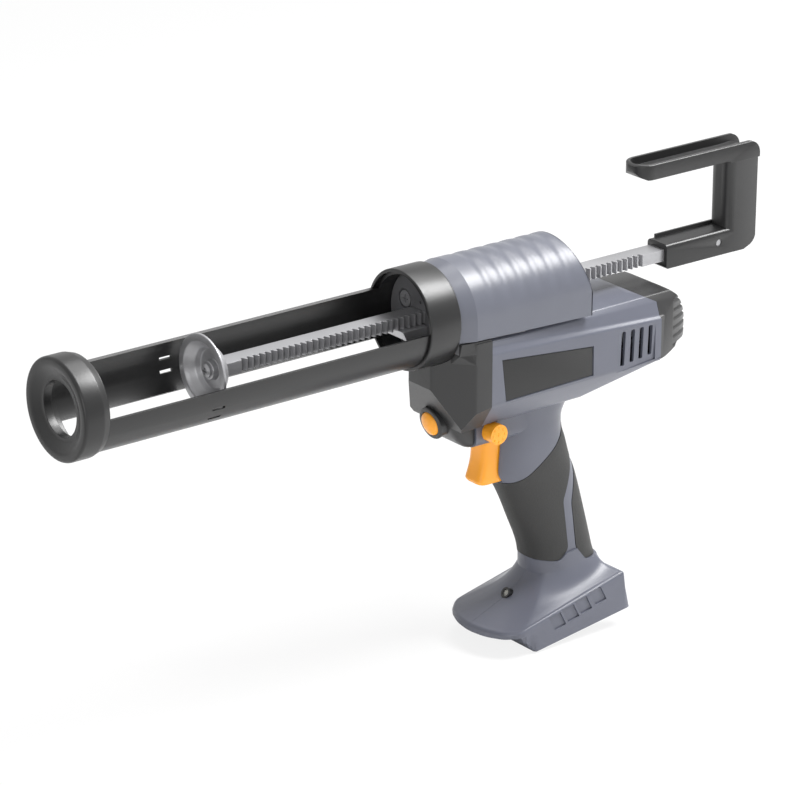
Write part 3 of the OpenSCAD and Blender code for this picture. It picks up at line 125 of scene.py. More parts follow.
# The sky is white where it is seen, straight, mirrored or through the lens, and dimmer as a light.
sky = bpy.data.worlds.new("studio")
sky.use_nodes = True
scene.world = sky
tree = sky.node_tree
tree.nodes.clear()
path = put(tree, "ShaderNodeLightPath").outputs
seen = maths(tree, "MAXIMUM", path["Is Camera Ray"], path["Is Glossy Ray"])
seen = maths(tree, "MAXIMUM", seen, path["Is Transmission Ray"])
even = put(tree, "ShaderNodeBackground", {"Color": WHITE, "Strength": SKY_LIGHT})
bright = put(tree, "ShaderNodeBackground", {"Color": WHITE, "Strength": 1.0})
put(tree, "ShaderNodeOutputWorld", mixed(tree, seen, even, bright))


def linear(r, g, b):
    """Linear colour of one given as the eye's red, green and blue: c / 12.92 up to 0.04045, and
    ((c + 0.055) / 1.055) to the power 2.4 above."""
    knee = 0.04045
    parts = [c / 12.92 if c <= knee else ((c + 0.055) / 1.055) ** 2.4 for c in (r, g, b)]
    return (*parts, 1.0)


floor_z = cad_box[0][2] - FLOOR_GAP
floor_mesh = bpy.data.meshes.new("floor")
floor_corners = [
    (x * FLOOR_REACH, y * FLOOR_REACH, floor_z) for x, y in ((-1, -1), (1, -1), (1, 1), (-1, 1))
]
floor_mesh.from_pydata(floor_corners, [], [(0, 1, 2, 3)])
floor = bpy.data.objects.new("floor", floor_mesh)
link(floor)
paint = bpy.data.materials.new("floor paint")
paint.use_nodes = True
tree = paint.node_tree
tree.nodes.clear()
path = put(tree, "ShaderNodeLightPath").outputs
here = put(tree, "ShaderNodeTexCoord").outputs["Object"]
cloud = put(tree, "ShaderNodeTexNoise", {"Vector": here, "Scale": 3.0}).outputs["Fac"]
tone = put(tree, "ShaderNodeMapRange", {"Value": cloud, "To Min": 0.93, "To Max": 0.95})
matt = put(tree, "ShaderNodeBsdfDiffuse", {"Color": tone.outputs[0]})
glow = put(tree, "ShaderNodeEmission", {"Color": WHITE, "Strength": 1.0})
lit = maths(tree, "MULTIPLY", path["Is Camera Ray"], FLOOR_GLOW)
put(tree, "ShaderNodeOutputMaterial", mixed(tree, lit, matt, glow))
floor_mesh.materials.append(paint)

# Finishes. The mouldings, paint and rubber have a fine pebbled grain with faint broad patches,
# and the bare metal has fine scratches along the barrel. Each finish takes its grain from one of
# two shared patterns, and its gloss is its own.

PATCH_SCALE, ROUGH_SPREAD, RELIEF_DEPTH = 38.0, 0.16, 0.00015


def pattern(name, stretch):
    """Node group that breaks a colour up: patches scale it by 1 + Patch (n - 1/2), with n a broad
    noise, and a fine noise of the given stretch turns the normal and shifts the roughness."""
    group = bpy.data.node_groups.new(name, "ShaderNodeTree")
    numbers = ["Rough", "Patch", "Grain", "Relief"]
    sockets = [("INPUT", "Colour", "Color")] + [("INPUT", label, "Float") for label in numbers]
    sockets += [
        ("OUTPUT", "Colour", "Color"), ("OUTPUT", "Roughness", "Float"),
        ("OUTPUT", "Normal", "Vector"),
    ]
    for way, label, kind in sockets:
        group.interface.new_socket(label, in_out=way, socket_type="NodeSocket" + kind)
    given = group.nodes.new("NodeGroupInput").outputs
    here = put(group, "ShaderNodeTexCoord").outputs["Object"]
    broad = put(
        group, "ShaderNodeTexNoise", {"Vector": here, "Scale": PATCH_SCALE, "Detail": 3.0}
    ).outputs["Fac"]
    shift = maths(group, "SUBTRACT", broad, 0.5)
    scale = maths(group, "MULTIPLY_ADD", shift, given["Patch"], 1.0)
    colour = put(
        group, "ShaderNodeVectorMath", {0: given["Colour"], "Scale": scale}, operation="SCALE"
    )
    drawn = put(group, "ShaderNodeVectorMath", {0: here, 1: stretch}, operation="MULTIPLY")
    fine = put(
        group, "ShaderNodeTexNoise",
        {"Vector": drawn.outputs[0], "Scale": given["Grain"], "Detail": 2.0},
    ).outputs["Fac"]
    rough = maths(group, "MULTIPLY_ADD", fine, ROUGH_SPREAD, -ROUGH_SPREAD / 2)
    rough = maths(group, "ADD", rough, given["Rough"])
    bump = put(
        group, "ShaderNodeBump",
        {"Height": fine, "Strength": given["Relief"], "Distance": RELIEF_DEPTH},
    )
    results = {"Colour": colour.outputs[0], "Roughness": rough, "Normal": bump.outputs[0]}
    put(group, "NodeGroupOutput", results)
    return group


PEBBLED = pattern("pebbled grain", (1, 1, 1))
DRAWN = pattern("drawn grain", (0.04, 1, 1))
FINISH = {}


def finish(slot, colour, rough, grain=PEBBLED, patch=0.12, size=1700.0, relief=0.25, **own):
    """Material for one slot of the record: the pattern colours and roughens it, and the rest of
    its gloss is set on the shader itself."""
    material = bpy.data.materials.new(slot)
    material.use_nodes = True
    tree = material.node_tree
    shader = tree.nodes["Principled BSDF"]
    given = {
        "Colour": linear(*colour), "Rough": rough, "Patch": patch, "Grain": size, "Relief": relief,
    }
    node = put(tree, "ShaderNodeGroup", node_tree=grain)
    for key, value in given.items():
        node.inputs[key].default_value = value
    for made, wanted in (("Colour", "Base Color"), ("Roughness",) * 2, ("Normal",) * 2):
        tree.links.new(node.outputs[made], shader.inputs[wanted])
    for key, value in own.items():
        shader.inputs[key.replace("_", " ").title()].default_value = value
    FINISH[slot] = material


finish("black_metal", (0.07, 0.07, 0.072), 0.36, relief=0.1)
finish("steel", (0.64, 0.64, 0.65), 0.38, DRAWN, patch=0.2, size=900.0, relief=0.2, metallic=0.5)
finish("dark_steel", (0.20, 0.20, 0.205), 0.4, DRAWN, patch=0.2, metallic=0.6)
finish("plated_steel", (0.62, 0.63, 0.65), 0.3, DRAWN, patch=0.15, metallic=0.9)
finish("magnet", (0.20, 0.20, 0.21), 0.5, patch=0.3)
finish("rotor", (0.52, 0.32, 0.18), 0.35, patch=0.4, size=900.0)
finish("alloy", (0.72, 0.72, 0.73), 0.42, patch=0.15, metallic=0.5)
finish("grey_alloy", (0.45, 0.45, 0.46), 0.42, patch=0.15, metallic=0.3)
finish("bronze", (0.62, 0.45, 0.22), 0.38, DRAWN, patch=0.2, metallic=0.85)
finish("black_plastic", (0.10, 0.10, 0.102), 0.36, relief=0.12)
finish("dark_plastic", (0.155, 0.155, 0.157), 0.42, relief=0.25)
finish("shell_plastic", (0.365, 0.375, 0.42), 0.36, relief=0.2)
# The tunnel's colour is the shell's plastic painted a little lighter: painted light from above on
# its top.
finish("tunnel_plastic", (0.38, 0.39, 0.43), 0.34, relief=0.12)
finish("panel", (0.06, 0.06, 0.06), 0.4, relief=0.08)
finish("rubber", (0.165, 0.165, 0.162), 0.62, size=1100.0, relief=0.45)
finish("orange_plastic", (1.0, 0.66, 0.15), 0.34, patch=0.1, relief=0.15)
finish("board", (0.08, 0.26, 0.16), 0.4, patch=0.5, size=500.0)
finish("lens", (0.93, 0.93, 0.9), 0.1, patch=0.05, transmission_weight=0.5)

KEPT = {
    "steel": [
        "disc_screw", "hook_pin", "plate_screws", "lid_screws", "pinion_shaft", "rack_pinion",
        "final_wheel", "shaft_clips", "drive_pinion", "ring_screw", "shell_screws",
    ],
    "plated_steel": ["motor_can", "motor_bearings"],
    "magnet": ["motor_magnets"],
    "rotor": ["rotor"],
    "grey_alloy": ["gear_frame"],
    "dark_steel": ["gear_lid", "gear_head"],
    "bronze": ["shaft_bushes", "battery_contacts"],
    "black_plastic": [
        "motor_fan", "motor_end_bell", "motor_brushes", "trigger_switch", "battery_block",
        "light_bezel",
    ],
    "board": ["control_board"],
    "lens": ["work_light"],
}
for slot, nodes in KEPT.items():
    for node in nodes:
        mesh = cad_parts[node].data
        mesh.materials.clear()
        mesh.materials.append(FINISH[slot])

# Front ring. A thick ring of black painted steel closes the holder: its dished face leads to
# the nozzle hole, its lip is rounded, and it is pressed over the tube and held by one screw.

MM_PER_M = 1000


def shaded(piece, sharp):
    """Shades a piece smoothly, apart from edges that turn by more than so many degrees."""
    piece.data.shade_smooth()
    piece.data.set_sharp_from_angle(angle=math.radians(sharp))


def skin(name, grid, closed=False, sharp=35):
    """Surface through grid[row, column], points in mm. Columns close on themselves. Rows close
    too if asked, and otherwise the first and last end in flat faces."""
    grid = np.asarray(grid, float)
    rows, cols = grid.shape[:2]
    i, j = np.meshgrid(np.arange(rows if closed else rows - 1), np.arange(cols), indexing="ij")
    below, beside = (i + 1) % rows * cols, (j + 1) % cols
    quads = np.stack([i * cols + j, i * cols + beside, below + beside, below + j], -1)
    faces = quads.reshape(-1, 4).tolist()
    if not closed:
        faces += [list(range(cols))[::-1], list(range((rows - 1) * cols, rows * cols))]
    mesh = bpy.data.meshes.new(name)
    mesh.from_pydata((grid.reshape(-1, 3) / MM_PER_M).tolist(), [], faces)
    form = bmesh.new()
    form.from_mesh(mesh)
    if form.calc_volume(signed=True) < 0:
        bmesh.ops.reverse_faces(form, faces=form.faces)
    form.to_mesh(mesh)
    form.free()
    piece = bpy.data.objects.new(name, mesh)
    shaded(piece, sharp)
    link(piece)
    return piece


def around(count):
    """Angles of so many points spread evenly over a circle."""
    return np.arange(count) * 2 * np.pi / count


def turned(name, profile, cols=144):
    """Closed profile of (x, radius) turned about the barrel axis: y = r sin a, z = r cos a."""
    x, r = np.asarray(profile, float).T
    a = around(cols)
    along = np.outer(x, np.ones(cols))
    grid = np.stack([along, np.outer(r, np.sin(a)), np.outer(r, np.cos(a))], -1)
    return skin(name, grid, closed=True)


def fitted(piece, slot, body, *nodes):
    """Gives a piece its finish, lets it ride on a body and stand for the CAD nodes named."""
    piece.data.materials.clear()
    piece.data.materials.append(FINISH[slot])
    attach(piece, body)
    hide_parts(*nodes)
    return piece


def eased(corners, cuts, steps=6):
    """Closed outlines with rounded corners. Each corner P becomes the curve
    (1 - t)^2 A + 2 t (1 - t) P + t^2 B, with A and B its cut away along its two sides."""
    p = np.asarray(corners, float)
    cut = np.broadcast_to(np.asarray(cuts, float), p.shape[:-1])[..., None]
    back, on = np.roll(p, 1, -2) - p, np.roll(p, -1, -2) - p
    a = (p + cut * back / np.linalg.norm(back, axis=-1, keepdims=True))[..., None, :]
    b = (p + cut * on / np.linalg.norm(on, axis=-1, keepdims=True))[..., None, :]
    t = np.linspace(0, 1, steps)[:, None]
    curve = (1 - t) ** 2 * a + 2 * t * (1 - t) * p[..., None, :] + t**2 * b
    return curve.reshape(*p.shape[:-2], -1, p.shape[-1])


ring = eased(
    [(0, 15.5), (0, 17.5), (-2.9, 24), (-3, 28.7), (9, 28.7), (13, 27.5), (13, 25.1), (5, 25.1),
     (5, 15.5)],
    [0.3, 1.2, 1.4, 1.9, 0.6, 0.2, 0.1, 0.1, 0.3],
)
fitted(turned("front_ring.piece", ring), "black_metal", "holder", "front_ring")

# Collar. A plain black band at the rear of the holder, which turns on the nose; its front edge
# shows the tube's wall inside it.

collar = eased(
    [(223, 27.05), (223, 29), (244, 29), (244, 26.5), (242, 26.5), (242, 27.9), (238.6, 27.9),
     (238.6, 27.05)],
    [0.1, 0.9, 0.9, 0.1, 0.1, 0.1, 0.1, 0.1],
)
fitted(turned("collar.piece", collar), "black_metal", "holder", "collar")

# Plunger. A pressed steel disc that pushes the cartridge's piston: a flat rim, a dished web
# with a ring step, and a boss that takes the screw in the rod's end.

disc = eased(
    [(94, 2.1), (94, 5.2), (97.5, 5.8), (97.5, 11.2), (94.6, 12.6), (91.8, 15.6), (90, 17.2),
     (90, 21.2), (91.5, 21.2), (91.6, 18.0), (95.6, 14.2), (99, 12.4), (99, 2.1)],
    [0.3, 0.8, 0.5, 0.6, 0.6, 0.6, 0.7, 0.6, 0.6, 0.6, 0.6, 0.6, 0.1],
)
fitted(turned("plunger.piece", disc, 128), "steel", "rod", "plunger_disc")

# Tunnel. A moulding over the gears, of the shell's grey-blue plastic with its colour painted a
# little lighter as painted highlight for the light on its top: half round above and straight at
# the sides, with a flared band at the front, six finger scallops across its crest and a raked rear
# face.

TUNNEL_R, TUNNEL_X0, TUNNEL_X1, RAKE = 28.7, 244.25, 342.25, 0.3
SCALLOPS, SCALLOP_X, SCALLOP_PITCH, SCALLOP_DEPTH, SCALLOP_SHARE = 6, 268.25, 11, 0.45, 0.84
BAND_END, BAND_LENGTH, FADE_ANGLE = 0.114, 11, 78
SIDE_ROWS = 6
arch = np.radians(np.concatenate([
    np.full(SIDE_ROWS, -90.0), np.linspace(-90, 90, 73)[1:-1], np.full(SIDE_ROWS, 90.0)
]))
down = np.concatenate([np.linspace(1, 0, SIDE_ROWS), np.zeros(71), np.linspace(0, 1, SIDE_ROWS)])


def tunnel_wall(inner):
    """Rows along the barrel, columns over the arch, a wall thickness inside the outer face. The
    radius is R - 0.45 g(x) c(a) + f(x), with g the scallops' round grooves, c = 1 - |a / 78|^3
    their fade from the crest and f the front band's flare from -2.2 to 0.4. The straight sides
    reach 10.9 + 0.034 (x - 244.25) below the axis."""
    rows = np.concatenate([
        np.linspace(0, BAND_END, 24), [BAND_END + 0.0001], np.linspace(BAND_END + 0.001, 1, 150)
    ])[:, None]
    rear = TUNNEL_X1 - RAKE * np.clip(TUNNEL_R * np.cos(arch) + 13, 0, None)
    x = TUNNEL_X0 + rows * (rear - TUNNEL_X0)
    if inner:
        r = np.full_like(x, TUNNEL_R - inner)
        x = x - inner - 0.01
    else:
        phase = (x - SCALLOP_X) / SCALLOP_PITCH
        nearest = np.round(phase)
        off = np.clip(phase - nearest, -SCALLOP_SHARE / 2, SCALLOP_SHARE / 2)
        groove = 0.5 + 0.5 * np.cos(2 * np.pi * off / SCALLOP_SHARE)
        inside = (nearest >= 0) & (nearest < SCALLOPS)
        fade = np.clip(1 - (np.abs(np.degrees(arch)) / FADE_ANGLE) ** 3, 0, 1)
        band = np.clip((x - TUNNEL_X0) / BAND_LENGTH, 0, 1)
        flare = np.where(rows <= BAND_END, -2.2 + 2.6 * band, 0.0)
        r = TUNNEL_R - SCALLOP_DEPTH * groove * inside * fade + flare
    z = r * np.cos(arch) - down * (10.9 + 0.034 * (x - TUNNEL_X0))
    return np.stack([x, r * np.sin(arch), z], -1)


def rim(grid, size, steps=5):
    """The grid with one more quarter-round edge of that size at its last row: each step goes
    size sin a on along x and draws the row in by size (1 - cos a) towards the axis."""
    last = grid[-1].copy()
    grid = grid.copy()
    grid[-1, :, 0] -= size
    more = []
    for a in np.linspace(0, np.pi / 2, steps)[1:]:
        row = last.copy()
        row[:, 0] += size * (np.sin(a) - 1)
        reach = np.linalg.norm(row[:, 1:], axis=1, keepdims=True)
        row[:, 1:] *= 1 - size * (1 - np.cos(a)) / reach
        more.append(row)
    return np.concatenate([grid, np.array(more)])


def applied(piece):
    """Leaves a piece with the mesh that its modifiers give, and without them."""
    seen = piece.evaluated_get(bpy.context.evaluated_depsgraph_get())
    made = bpy.data.meshes.new_from_object(seen)
    piece.modifiers.clear()
    piece.data = made


def combine(piece, others, how):
    """Adds, cuts away or keeps in common the other solids, which are used up, and leaves one
    clean mesh."""
    for other in others:
        step = piece.modifiers.new("form", "BOOLEAN")
        step.operation = how
        step.solver = "MANIFOLD"
        step.object = other
    applied(piece)
    for other in others:
        bpy.data.objects.remove(other)
    return piece


def block(low, high, name="block"):
    """Box between two corners, in mm."""
    (x0, y0, z0), (x1, y1, z1) = low, high
    square = [(y0, z0), (y1, z0), (y1, z1), (y0, z1)]
    return skin(name, [[(x, y, z) for y, z in square] for x in (x0, x1)])


tunnel = skin("tunnel.piece", rim(tunnel_wall(0), 1.2), sharp=40)
rod_room = block((330, -6.4, -3.9), (350, 6.4, 3.9))
gear_rooms = [block((300, -26.2, -40), (339, 26.2, -5)), block((240, -26.2, -40), (301, 26.2, -5))]
combine(tunnel, [skin("hollow", tunnel_wall(2.5)), rod_room, *gear_rooms], "DIFFERENCE")
fitted(tunnel, "tunnel_plastic", "housing", "gear_tunnel")

# Housing, left and right. Two grey-blue glass-filled mouldings carry everything else: a long body
# with chamfered upper edges, a web, the handle and the battery foot. They are hollow, meet on
# the middle plane and are held by screws; the lever, panel, grips and cap sit in recesses.

SEAM_X, BELLY_X, CAP_X = 265.0, 338.25, 387.25
WALL = 2.5
BOSS = np.array([245.4, 0.0, -66.3])
OUT = np.array([-0.978, 0.0, -0.208])
LOCK_HOLE = (275, -60, -72.7), (275, 60, -72.7), 6.1


def slices(levels, outlines, axis=0):
    """Grid of outlines of equal length, each set at its own level of one axis."""
    p = np.asarray(outlines, float)
    grid = np.empty(p.shape[:2] + (3,))
    grid[..., [k for k in range(3) if k != axis]] = p
    grid[..., axis] = np.asarray(levels, float)[:, None]
    return grid


def joined(*corners):
    """Outlines, one for each station, from corners whose two coordinates are lists over these."""
    return np.stack([np.stack(np.broadcast_arrays(*p), -1) for p in corners], 1)


def body_rows(x, inset=0.0):
    """Outlines of the body at stations x. With t = (x - 265) / 122.25 the half width is 30 - 2 t,
    and the belly is level to x = 338.25 and rises 0.249 for each unit behind it."""
    x = np.asarray(x, float)
    t = (x - SEAM_X) / (CAP_X - SEAM_X)
    h = 30 - 2 * t
    low = -67 + 0.249 * np.clip(x - BELLY_X, 0, None)
    right = joined(
        (6 + 0 * t, -12.9 - 0.3 * t), (26.2 - 5.4 * t, -13 - 2.1 * t),
        (28.2 - 5.2 * t, -14.5 - 4.3 * t), (h - 2.1, -17.4 - 9 * t), (h, -21.2 - 6.6 * t),
        (h, -52 + 0 * t), (h - (-52 - low) * 0.643, low),
    )
    corners = np.concatenate([right, right[:, ::-1] * (-1, 1)], 1)
    if inset:
        side = np.roll(corners, -1, 1) - corners
        side /= np.linalg.norm(side, axis=-1, keepdims=True)
        n = np.stack([side[..., 1], -side[..., 0]], -1)
        before = np.roll(n, 1, 1)
        corners = corners + inset * (n + before) / (1 + (n * before).sum(-1, keepdims=True))
    cuts = [5, 0.7, 0.7, 0.9, 0.9, 1.5, 3]
    return slices(x, eased(corners, cuts + cuts[::-1], 5))


def prism(name, outline, low, high, axis=1):
    """Solid between two levels of one axis over an outline in the other two."""
    return skin(name, slices((low, high), [outline, outline], axis))


# Front, back, half width, height and roundness n of the handle's sections, from the top down.
HANDLE = np.array([
    (288, 369.25, 21.7, -52, 3),
    (288, 345.25, 19.8, -61, 2.8),
    (288, 337.25, 17.9, -69, 2.6),
    (288, 334.45, 17.0, -78, 2.5),
    (287.5, 334.4, 17.1, -83, 2.5),
    (286.5, 337.25, 17.2, -92, 2.5),
    (285.3, 341.5, 16.9, -104, 2.4),
    (287.5, 343.25, 16.9, -109, 2.4),
    (292.5, 345.25, 16.8, -114, 2.4),
    (305.5, 352.6, 17.0, -140, 2.4),
    (314.5, 358.4, 17.4, -163, 2.4),
    (316, 361.6, 18.8, -176, 2.5),
    (317.5, 361.8, 19.4, -183, 2.5),
])


def through(z, knots, values):
    """Smooth curve through the knots: cubic pieces whose slope at each knot is the harmonic mean
    of the two chords beside it, and zero where these change sign."""
    h, chord = np.diff(knots), np.diff(values) / np.diff(knots)
    before, after = chord[:-1], chord[1:]
    mean = np.where(after * before > 0, 2 * after * before / (after + before + 1e-12), 0)
    slope = np.concatenate([chord[:1], mean, chord[-1:]])
    k = np.clip(np.searchsorted(knots, z, side="right") - 1, 0, len(h) - 1)
    u = (z - knots[k]) / h[k]
    return ((1 + 2 * u) * (1 - u) ** 2 * values[k] + u * (1 - u) ** 2 * h[k] * slope[k]
            + u**2 * (3 - 2 * u) * values[k + 1] + u**2 * (u - 1) * h[k] * slope[k + 1])


def handle(name, grown=0.0, z0=-183.0, z1=-52.0, cols=96):
    """Loft of the handle between two heights. Its outline is |x / a|^n + |y / b|^n = 1 about the
    middle of the front and back edges, with a, b and n through the table's values."""
    z = np.linspace(z0, z1, 90)
    rising = HANDLE[::-1]
    front, back, half, power = (
        through(z, rising[:, 3], rising[:, k])[:, None] for k in (0, 1, 2, 4)
    )
    c, s = np.cos(around(cols)), np.sin(around(cols))
    r = (np.abs(c) ** power + np.abs(s) ** power) ** (-1 / power)
    x = (front + back) / 2 + ((back - front) / 2 + grown) * r * c
    y = (half + grown) * r * s
    return skin(name, slices(z, np.stack([x, y], -1), 2), sharp=50)


def to_row(points):
    """Foot frame to the barrel's frame: u runs rearwards along the foot's bottom, w up from it,
    x = 298.5 + 0.9905 u - 0.1374 w and z = -210.3 + 0.1374 u + 0.9905 w."""
    u, v, w = np.moveaxis(np.asarray(points, float), -1, 0)
    return np.stack([298.5 + 0.9905 * u - 0.1374 * w, v, -210.3 + 0.1374 * u + 0.9905 * w], -1)


FOOT_MIDDLE = 40.0
RAYS = np.linspace(0, 2 * np.pi, 181)[:-1]
RAY_C, RAY_S = np.cos(RAYS), np.sin(RAYS)


def ray(outline):
    """Distance from the foot's middle to a closed outline along each of its rays: the farthest
    point where the ray meets a side p + k e with 0 <= k <= 1."""
    p = np.asarray(outline, float) - (FOOT_MIDDLE, 0.0)
    (px, py), (ex, ey) = p.T, (np.roll(p, -1, 0) - p).T
    c, s = RAY_C[:, None], RAY_S[:, None]
    det = c * ey - s * ex
    det = np.where(np.abs(det) < 1e-9, 1e-9, det)
    far = (px * ey - py * ex) / det
    along = (px * s - py * c) / det
    hit = (far > 0) & (along >= -1e-9) & (along <= 1 + 1e-9)
    return np.where(hit, far, 0).max(1)


def foot(name):
    """Foot as rings of rays about (u, v) = (40, 0) at rising levels. The skirt ends at the sloping
    edge 17.3 + 0.093 u, up to 2.2 higher at the nose, where a round of 2.4 turns it in. At share q
    of the way to the neck's oval, |u / 21.7|^2.5 + |v / 18.6|^2.5 = 1 at w = 36, the roof has
    risen by the share 0.42 q + 0.58 q^4.5, and in front by 0.55 q + 0.45 q^5."""
    rear, half, turn, neck = 71.4, 30.5, 2.4, 36
    c, s = RAY_C, RAY_S
    rings = []
    for level, short, nose in ((0.0, 0, 0), (7.5, 0.6, 5.6), (12.5, 0.9, 8.9)):
        back = rear - short
        corners = [(back, half), (-nose, half), (-nose, -half), (back, -half)]
        rings.append((level, eased(corners, [1.5, 0.8, 0.8, 1.5])))
    right = [(rear - 0.9, half), (-8.9, half), (-16.4, 24), (-21.2, 13)]
    left = [(u, -v) for u, v in right[::-1]]
    rounds = [1.5, 2.5, 3, 4]
    rings.append((12.6, eased(right + [(-23.1, 0)] + left, rounds + [5] + rounds[::-1])))
    rows = []
    for level, outline in rings:
        d = ray(outline)
        rows.append([FOOT_MIDDLE + d * c, d * s, np.full_like(d, level)])
    u, v = rows[-1][:2]
    lift = 2.2 * np.clip(-u / 20, 0, 1) * np.clip(1 - (v / 30) ** 2, 0, 1)
    edge = 17.3 + 0.093 * u + lift
    for a in np.pi / 2 * np.arange(1, 8) / 7:
        r = d - turn * (1 - np.cos(a))
        rows.append([FOOT_MIDDLE + r * c, r * s, edge - turn + turn * np.sin(a)])
    u, v, w = rows[-1]
    oval = 1 / (np.abs(c / 21.7) ** 2.5 + np.abs(s / 18.6) ** 2.5) ** (1 / 2.5)
    oval_u, oval_v = 45.7 + oval * c, oval * s
    front = np.clip(-c, 0, 1) ** 3
    for q in np.linspace(0, 1, 22)[1:]:
        rise = (1 - front) * (0.42 * q + 0.58 * q**4.5) + front * (0.55 * q + 0.45 * q**5)
        rows.append([u + (oval_u - u) * q, v + (oval_v - v) * q, w + (neck - w) * rise])
    rows.append([oval_u - 0.6, oval_v, np.full_like(c, 44.0)])
    return skin(name, to_row(np.moveaxis(np.array(rows), 1, -1)), sharp=40)


def drilled(name, a, b, r, cols=40):
    """Round bar of radius r from point a to point b."""
    a, b = np.asarray(a, float), np.asarray(b, float)
    turn = np.array(Vector(b - a).normalized().to_track_quat("Z", "Y").to_matrix())
    t = around(cols)
    circle = np.stack([r * np.cos(t), r * np.sin(t), 0 * t], -1) @ turn.T
    return skin(name, [circle + a, circle + b])


def cuboid(name, low, high):
    """Box in the foot's frame, brought to the barrel's."""
    (u0, v0, w0), (u1, v1, w1) = low, high
    square = [(v0, w0), (v1, w0), (v1, w1), (v0, w1)]
    return skin(name, to_row([[(u, v, w) for v, w in square] for u in (u0, u1)]))


def keel(name, x, low, half=16.4):
    """Trough along the barrel: at station x a straight-sided U from z = -58 down to low, with
    its bottom corners eased over 7."""
    top, low = -58 * np.ones_like(x), np.broadcast_to(low, x.shape)
    corners = joined((-half, top), (half, top), (half, low), (-half, low))
    return skin(name, slices(x, eased(corners, [0.2, 0.2, 7, 7], 9)))


def seat_y(x):
    """Distance of the panel's seat from the middle plane: 29.1 at x = 272, falling with the
    body's side by 2 over its length."""
    return 29.1 - (x - 272) / (CAP_X - SEAM_X) * 2.0


stations = np.concatenate([np.linspace(SEAM_X, BELLY_X, 8), np.linspace(342, 396, 12)])
shell = skin("shell", body_rows(stations), sharp=25)
web = keel("web", np.array([SEAM_X, 318.0]), -82.0)
combine(shell, [web, handle("grip core"), foot("foot")], "UNION")
stations = np.concatenate([np.linspace(SEAM_X - 3, BELLY_X, 8), np.linspace(342, 400, 12)])
inner = skin("inner", body_rows(stations, WALL), sharp=25)
combine(inner, [handle("core", -WALL, -181.0, -54.0)], "UNION")

seam = [(379, -8), (379, -13), (390.5, -19), (390.5, -120), (420, -120), (420, -8)]
gear_space = block((250, -28.9, -10.9), (342.6, 28.9, 20))
frame_space = block((250, -25.9, -18), (292.5, 25.9, 20))
cuts = [inner, gear_space, frame_space, prism("seam", seam, -60, 60)]
VENTS = (361.9, -29.4, -50.5), (368.9, -29.6, -49.6), (375.5, -29.8, -49.0), (382.3, -30.0, -48.1)
for x, top, low in VENTS:
    slit = [(x - 1.5, low), (x + 1.5, low), (x + 1.5, top), (x - 1.5, top)]
    cuts.append(prism("vent", eased(slit, 1.1), -60, 60))
for s in (-1, 1):
    cuts.append(skin("wedge", [
        [(357.6, s * 28.5, -28.2), (386, s * 28.05, -28.6), (386, s * 27.0, -51.6),
         (357.6, s * 27.3, -54.0)],
        [(357.6, s * 40, -28.2), (386.6, s * 40, -28.6), (386.6, s * 40, -50.9),
         (357.6, s * 40, -53.3)],
    ]))
panel_line = [(272.0, -25.7), (339.4, -32.9), (339.6, -50.8), (275.2, -51.4)]
for s in (-1, 1):
    seat = [[(x, s * (seat_y(x) + out), z) for x, z in panel_line] for out in (0.0, 12.0)]
    cuts.append(skin("panel seat", seat))
cuts += [
    drilled("lock hole", *LOCK_HOLE),
    block((250, -8.4, -110), (296, 8.4, -82.55), "lever slot"),
    block((250, -2.3, -84), (290, 2.3, -76), "tab slot"),
    cuboid("slot", (4, -22.5, -4), (80, 22.5, 12)),
    cuboid("slot", (4, -25.5, 4), (80, 25.5, 12)),
    block((250, -30, -84), (264.9, 30, -10), "cover room"),
]
LENS_TILT = math.radians(48)
lens_at = to_row((6.5, 0, 25))
lens_way = to_row((6.5 - math.sin(LENS_TILT), 0, 25 + math.cos(LENS_TILT))) - lens_at
cuts.append(drilled("light hole", lens_at - 6 * lens_way, lens_at + 6 * lens_way, 3.5))
for x, z in ((277, -59), (344.25, -58), (330.75, -99), (337.25, -158)):
    cuts.append(drilled("screw hole", (x, 10, z), (x, 60, z), 3.1))
cuts.append(drilled("stem room", BOSS - 15 * OUT, BOSS - 23.5 * OUT, 3.2))
for u, w in ((15.8, 7.9), (25.8, 9.0), (35.7, 10.1), (46.7, 11.5)):
    hole = eased([(u, w), (u + 8.4, w + 0.4), (u + 5.1, w + 9.6), (u - 3.3, w + 9.2)], 0.5)
    for s in (-1, 1):
        cuts.append(skin("window", to_row([[(a, s * v, b) for a, b in hole] for v in (29.6, 40)])))
combine(shell, cuts, "DIFFERENCE")

FRONT_GRIP = [
    (265, -111), (294, -111), (302, -108), (312, -101.5), (322, -94), (330, -86), (336, -78),
    (355, -78), (355, -98), (339.5, -104), (329, -128.5), (333, -159), (327, -165.5),
    (285, -162.5),
]
REAR_GRIP = [
    (355, -107), (342.5, -107), (335.5, -131), (338.5, -160), (345.5, -168.5), (375, -171),
]


def region(outline, shrink=0.0):
    """Prism across the handle over a side outline whose sides are drawn in by a little."""
    p = np.asarray(outline, float)
    on = np.roll(p, -1, 0)
    side = on - p
    side /= np.linalg.norm(side, axis=1, keepdims=True)
    area = (p[:, 0] * on[:, 1] - on[:, 0] * p[:, 1]).sum()
    n = np.stack([-side[:, 1], side[:, 0]], -1) * np.sign(area)
    before = np.roll(n, 1, 0)
    p = p + shrink * (n + before) / (1 + (n * before).sum(1, keepdims=True))
    return prism("region", eased(p, 2.2), -40, 40)


def sleeve(name, outline, out, deep, shrink):
    """Part of the handle's skin inside the outline, from the depth given to just outside."""
    piece = region(outline, shrink)
    combine(piece, [handle("outer", out, -180, -72)], "INTERSECT")
    combine(piece, [handle("inner", -deep, -181, -71)], "DIFFERENCE")
    piece.name = name
    return piece


seats = [sleeve("seat", outline, 2.0, 1.5, 0.0) for outline in (FRONT_GRIP, REAR_GRIP)]
combine(shell, seats, "DIFFERENCE")

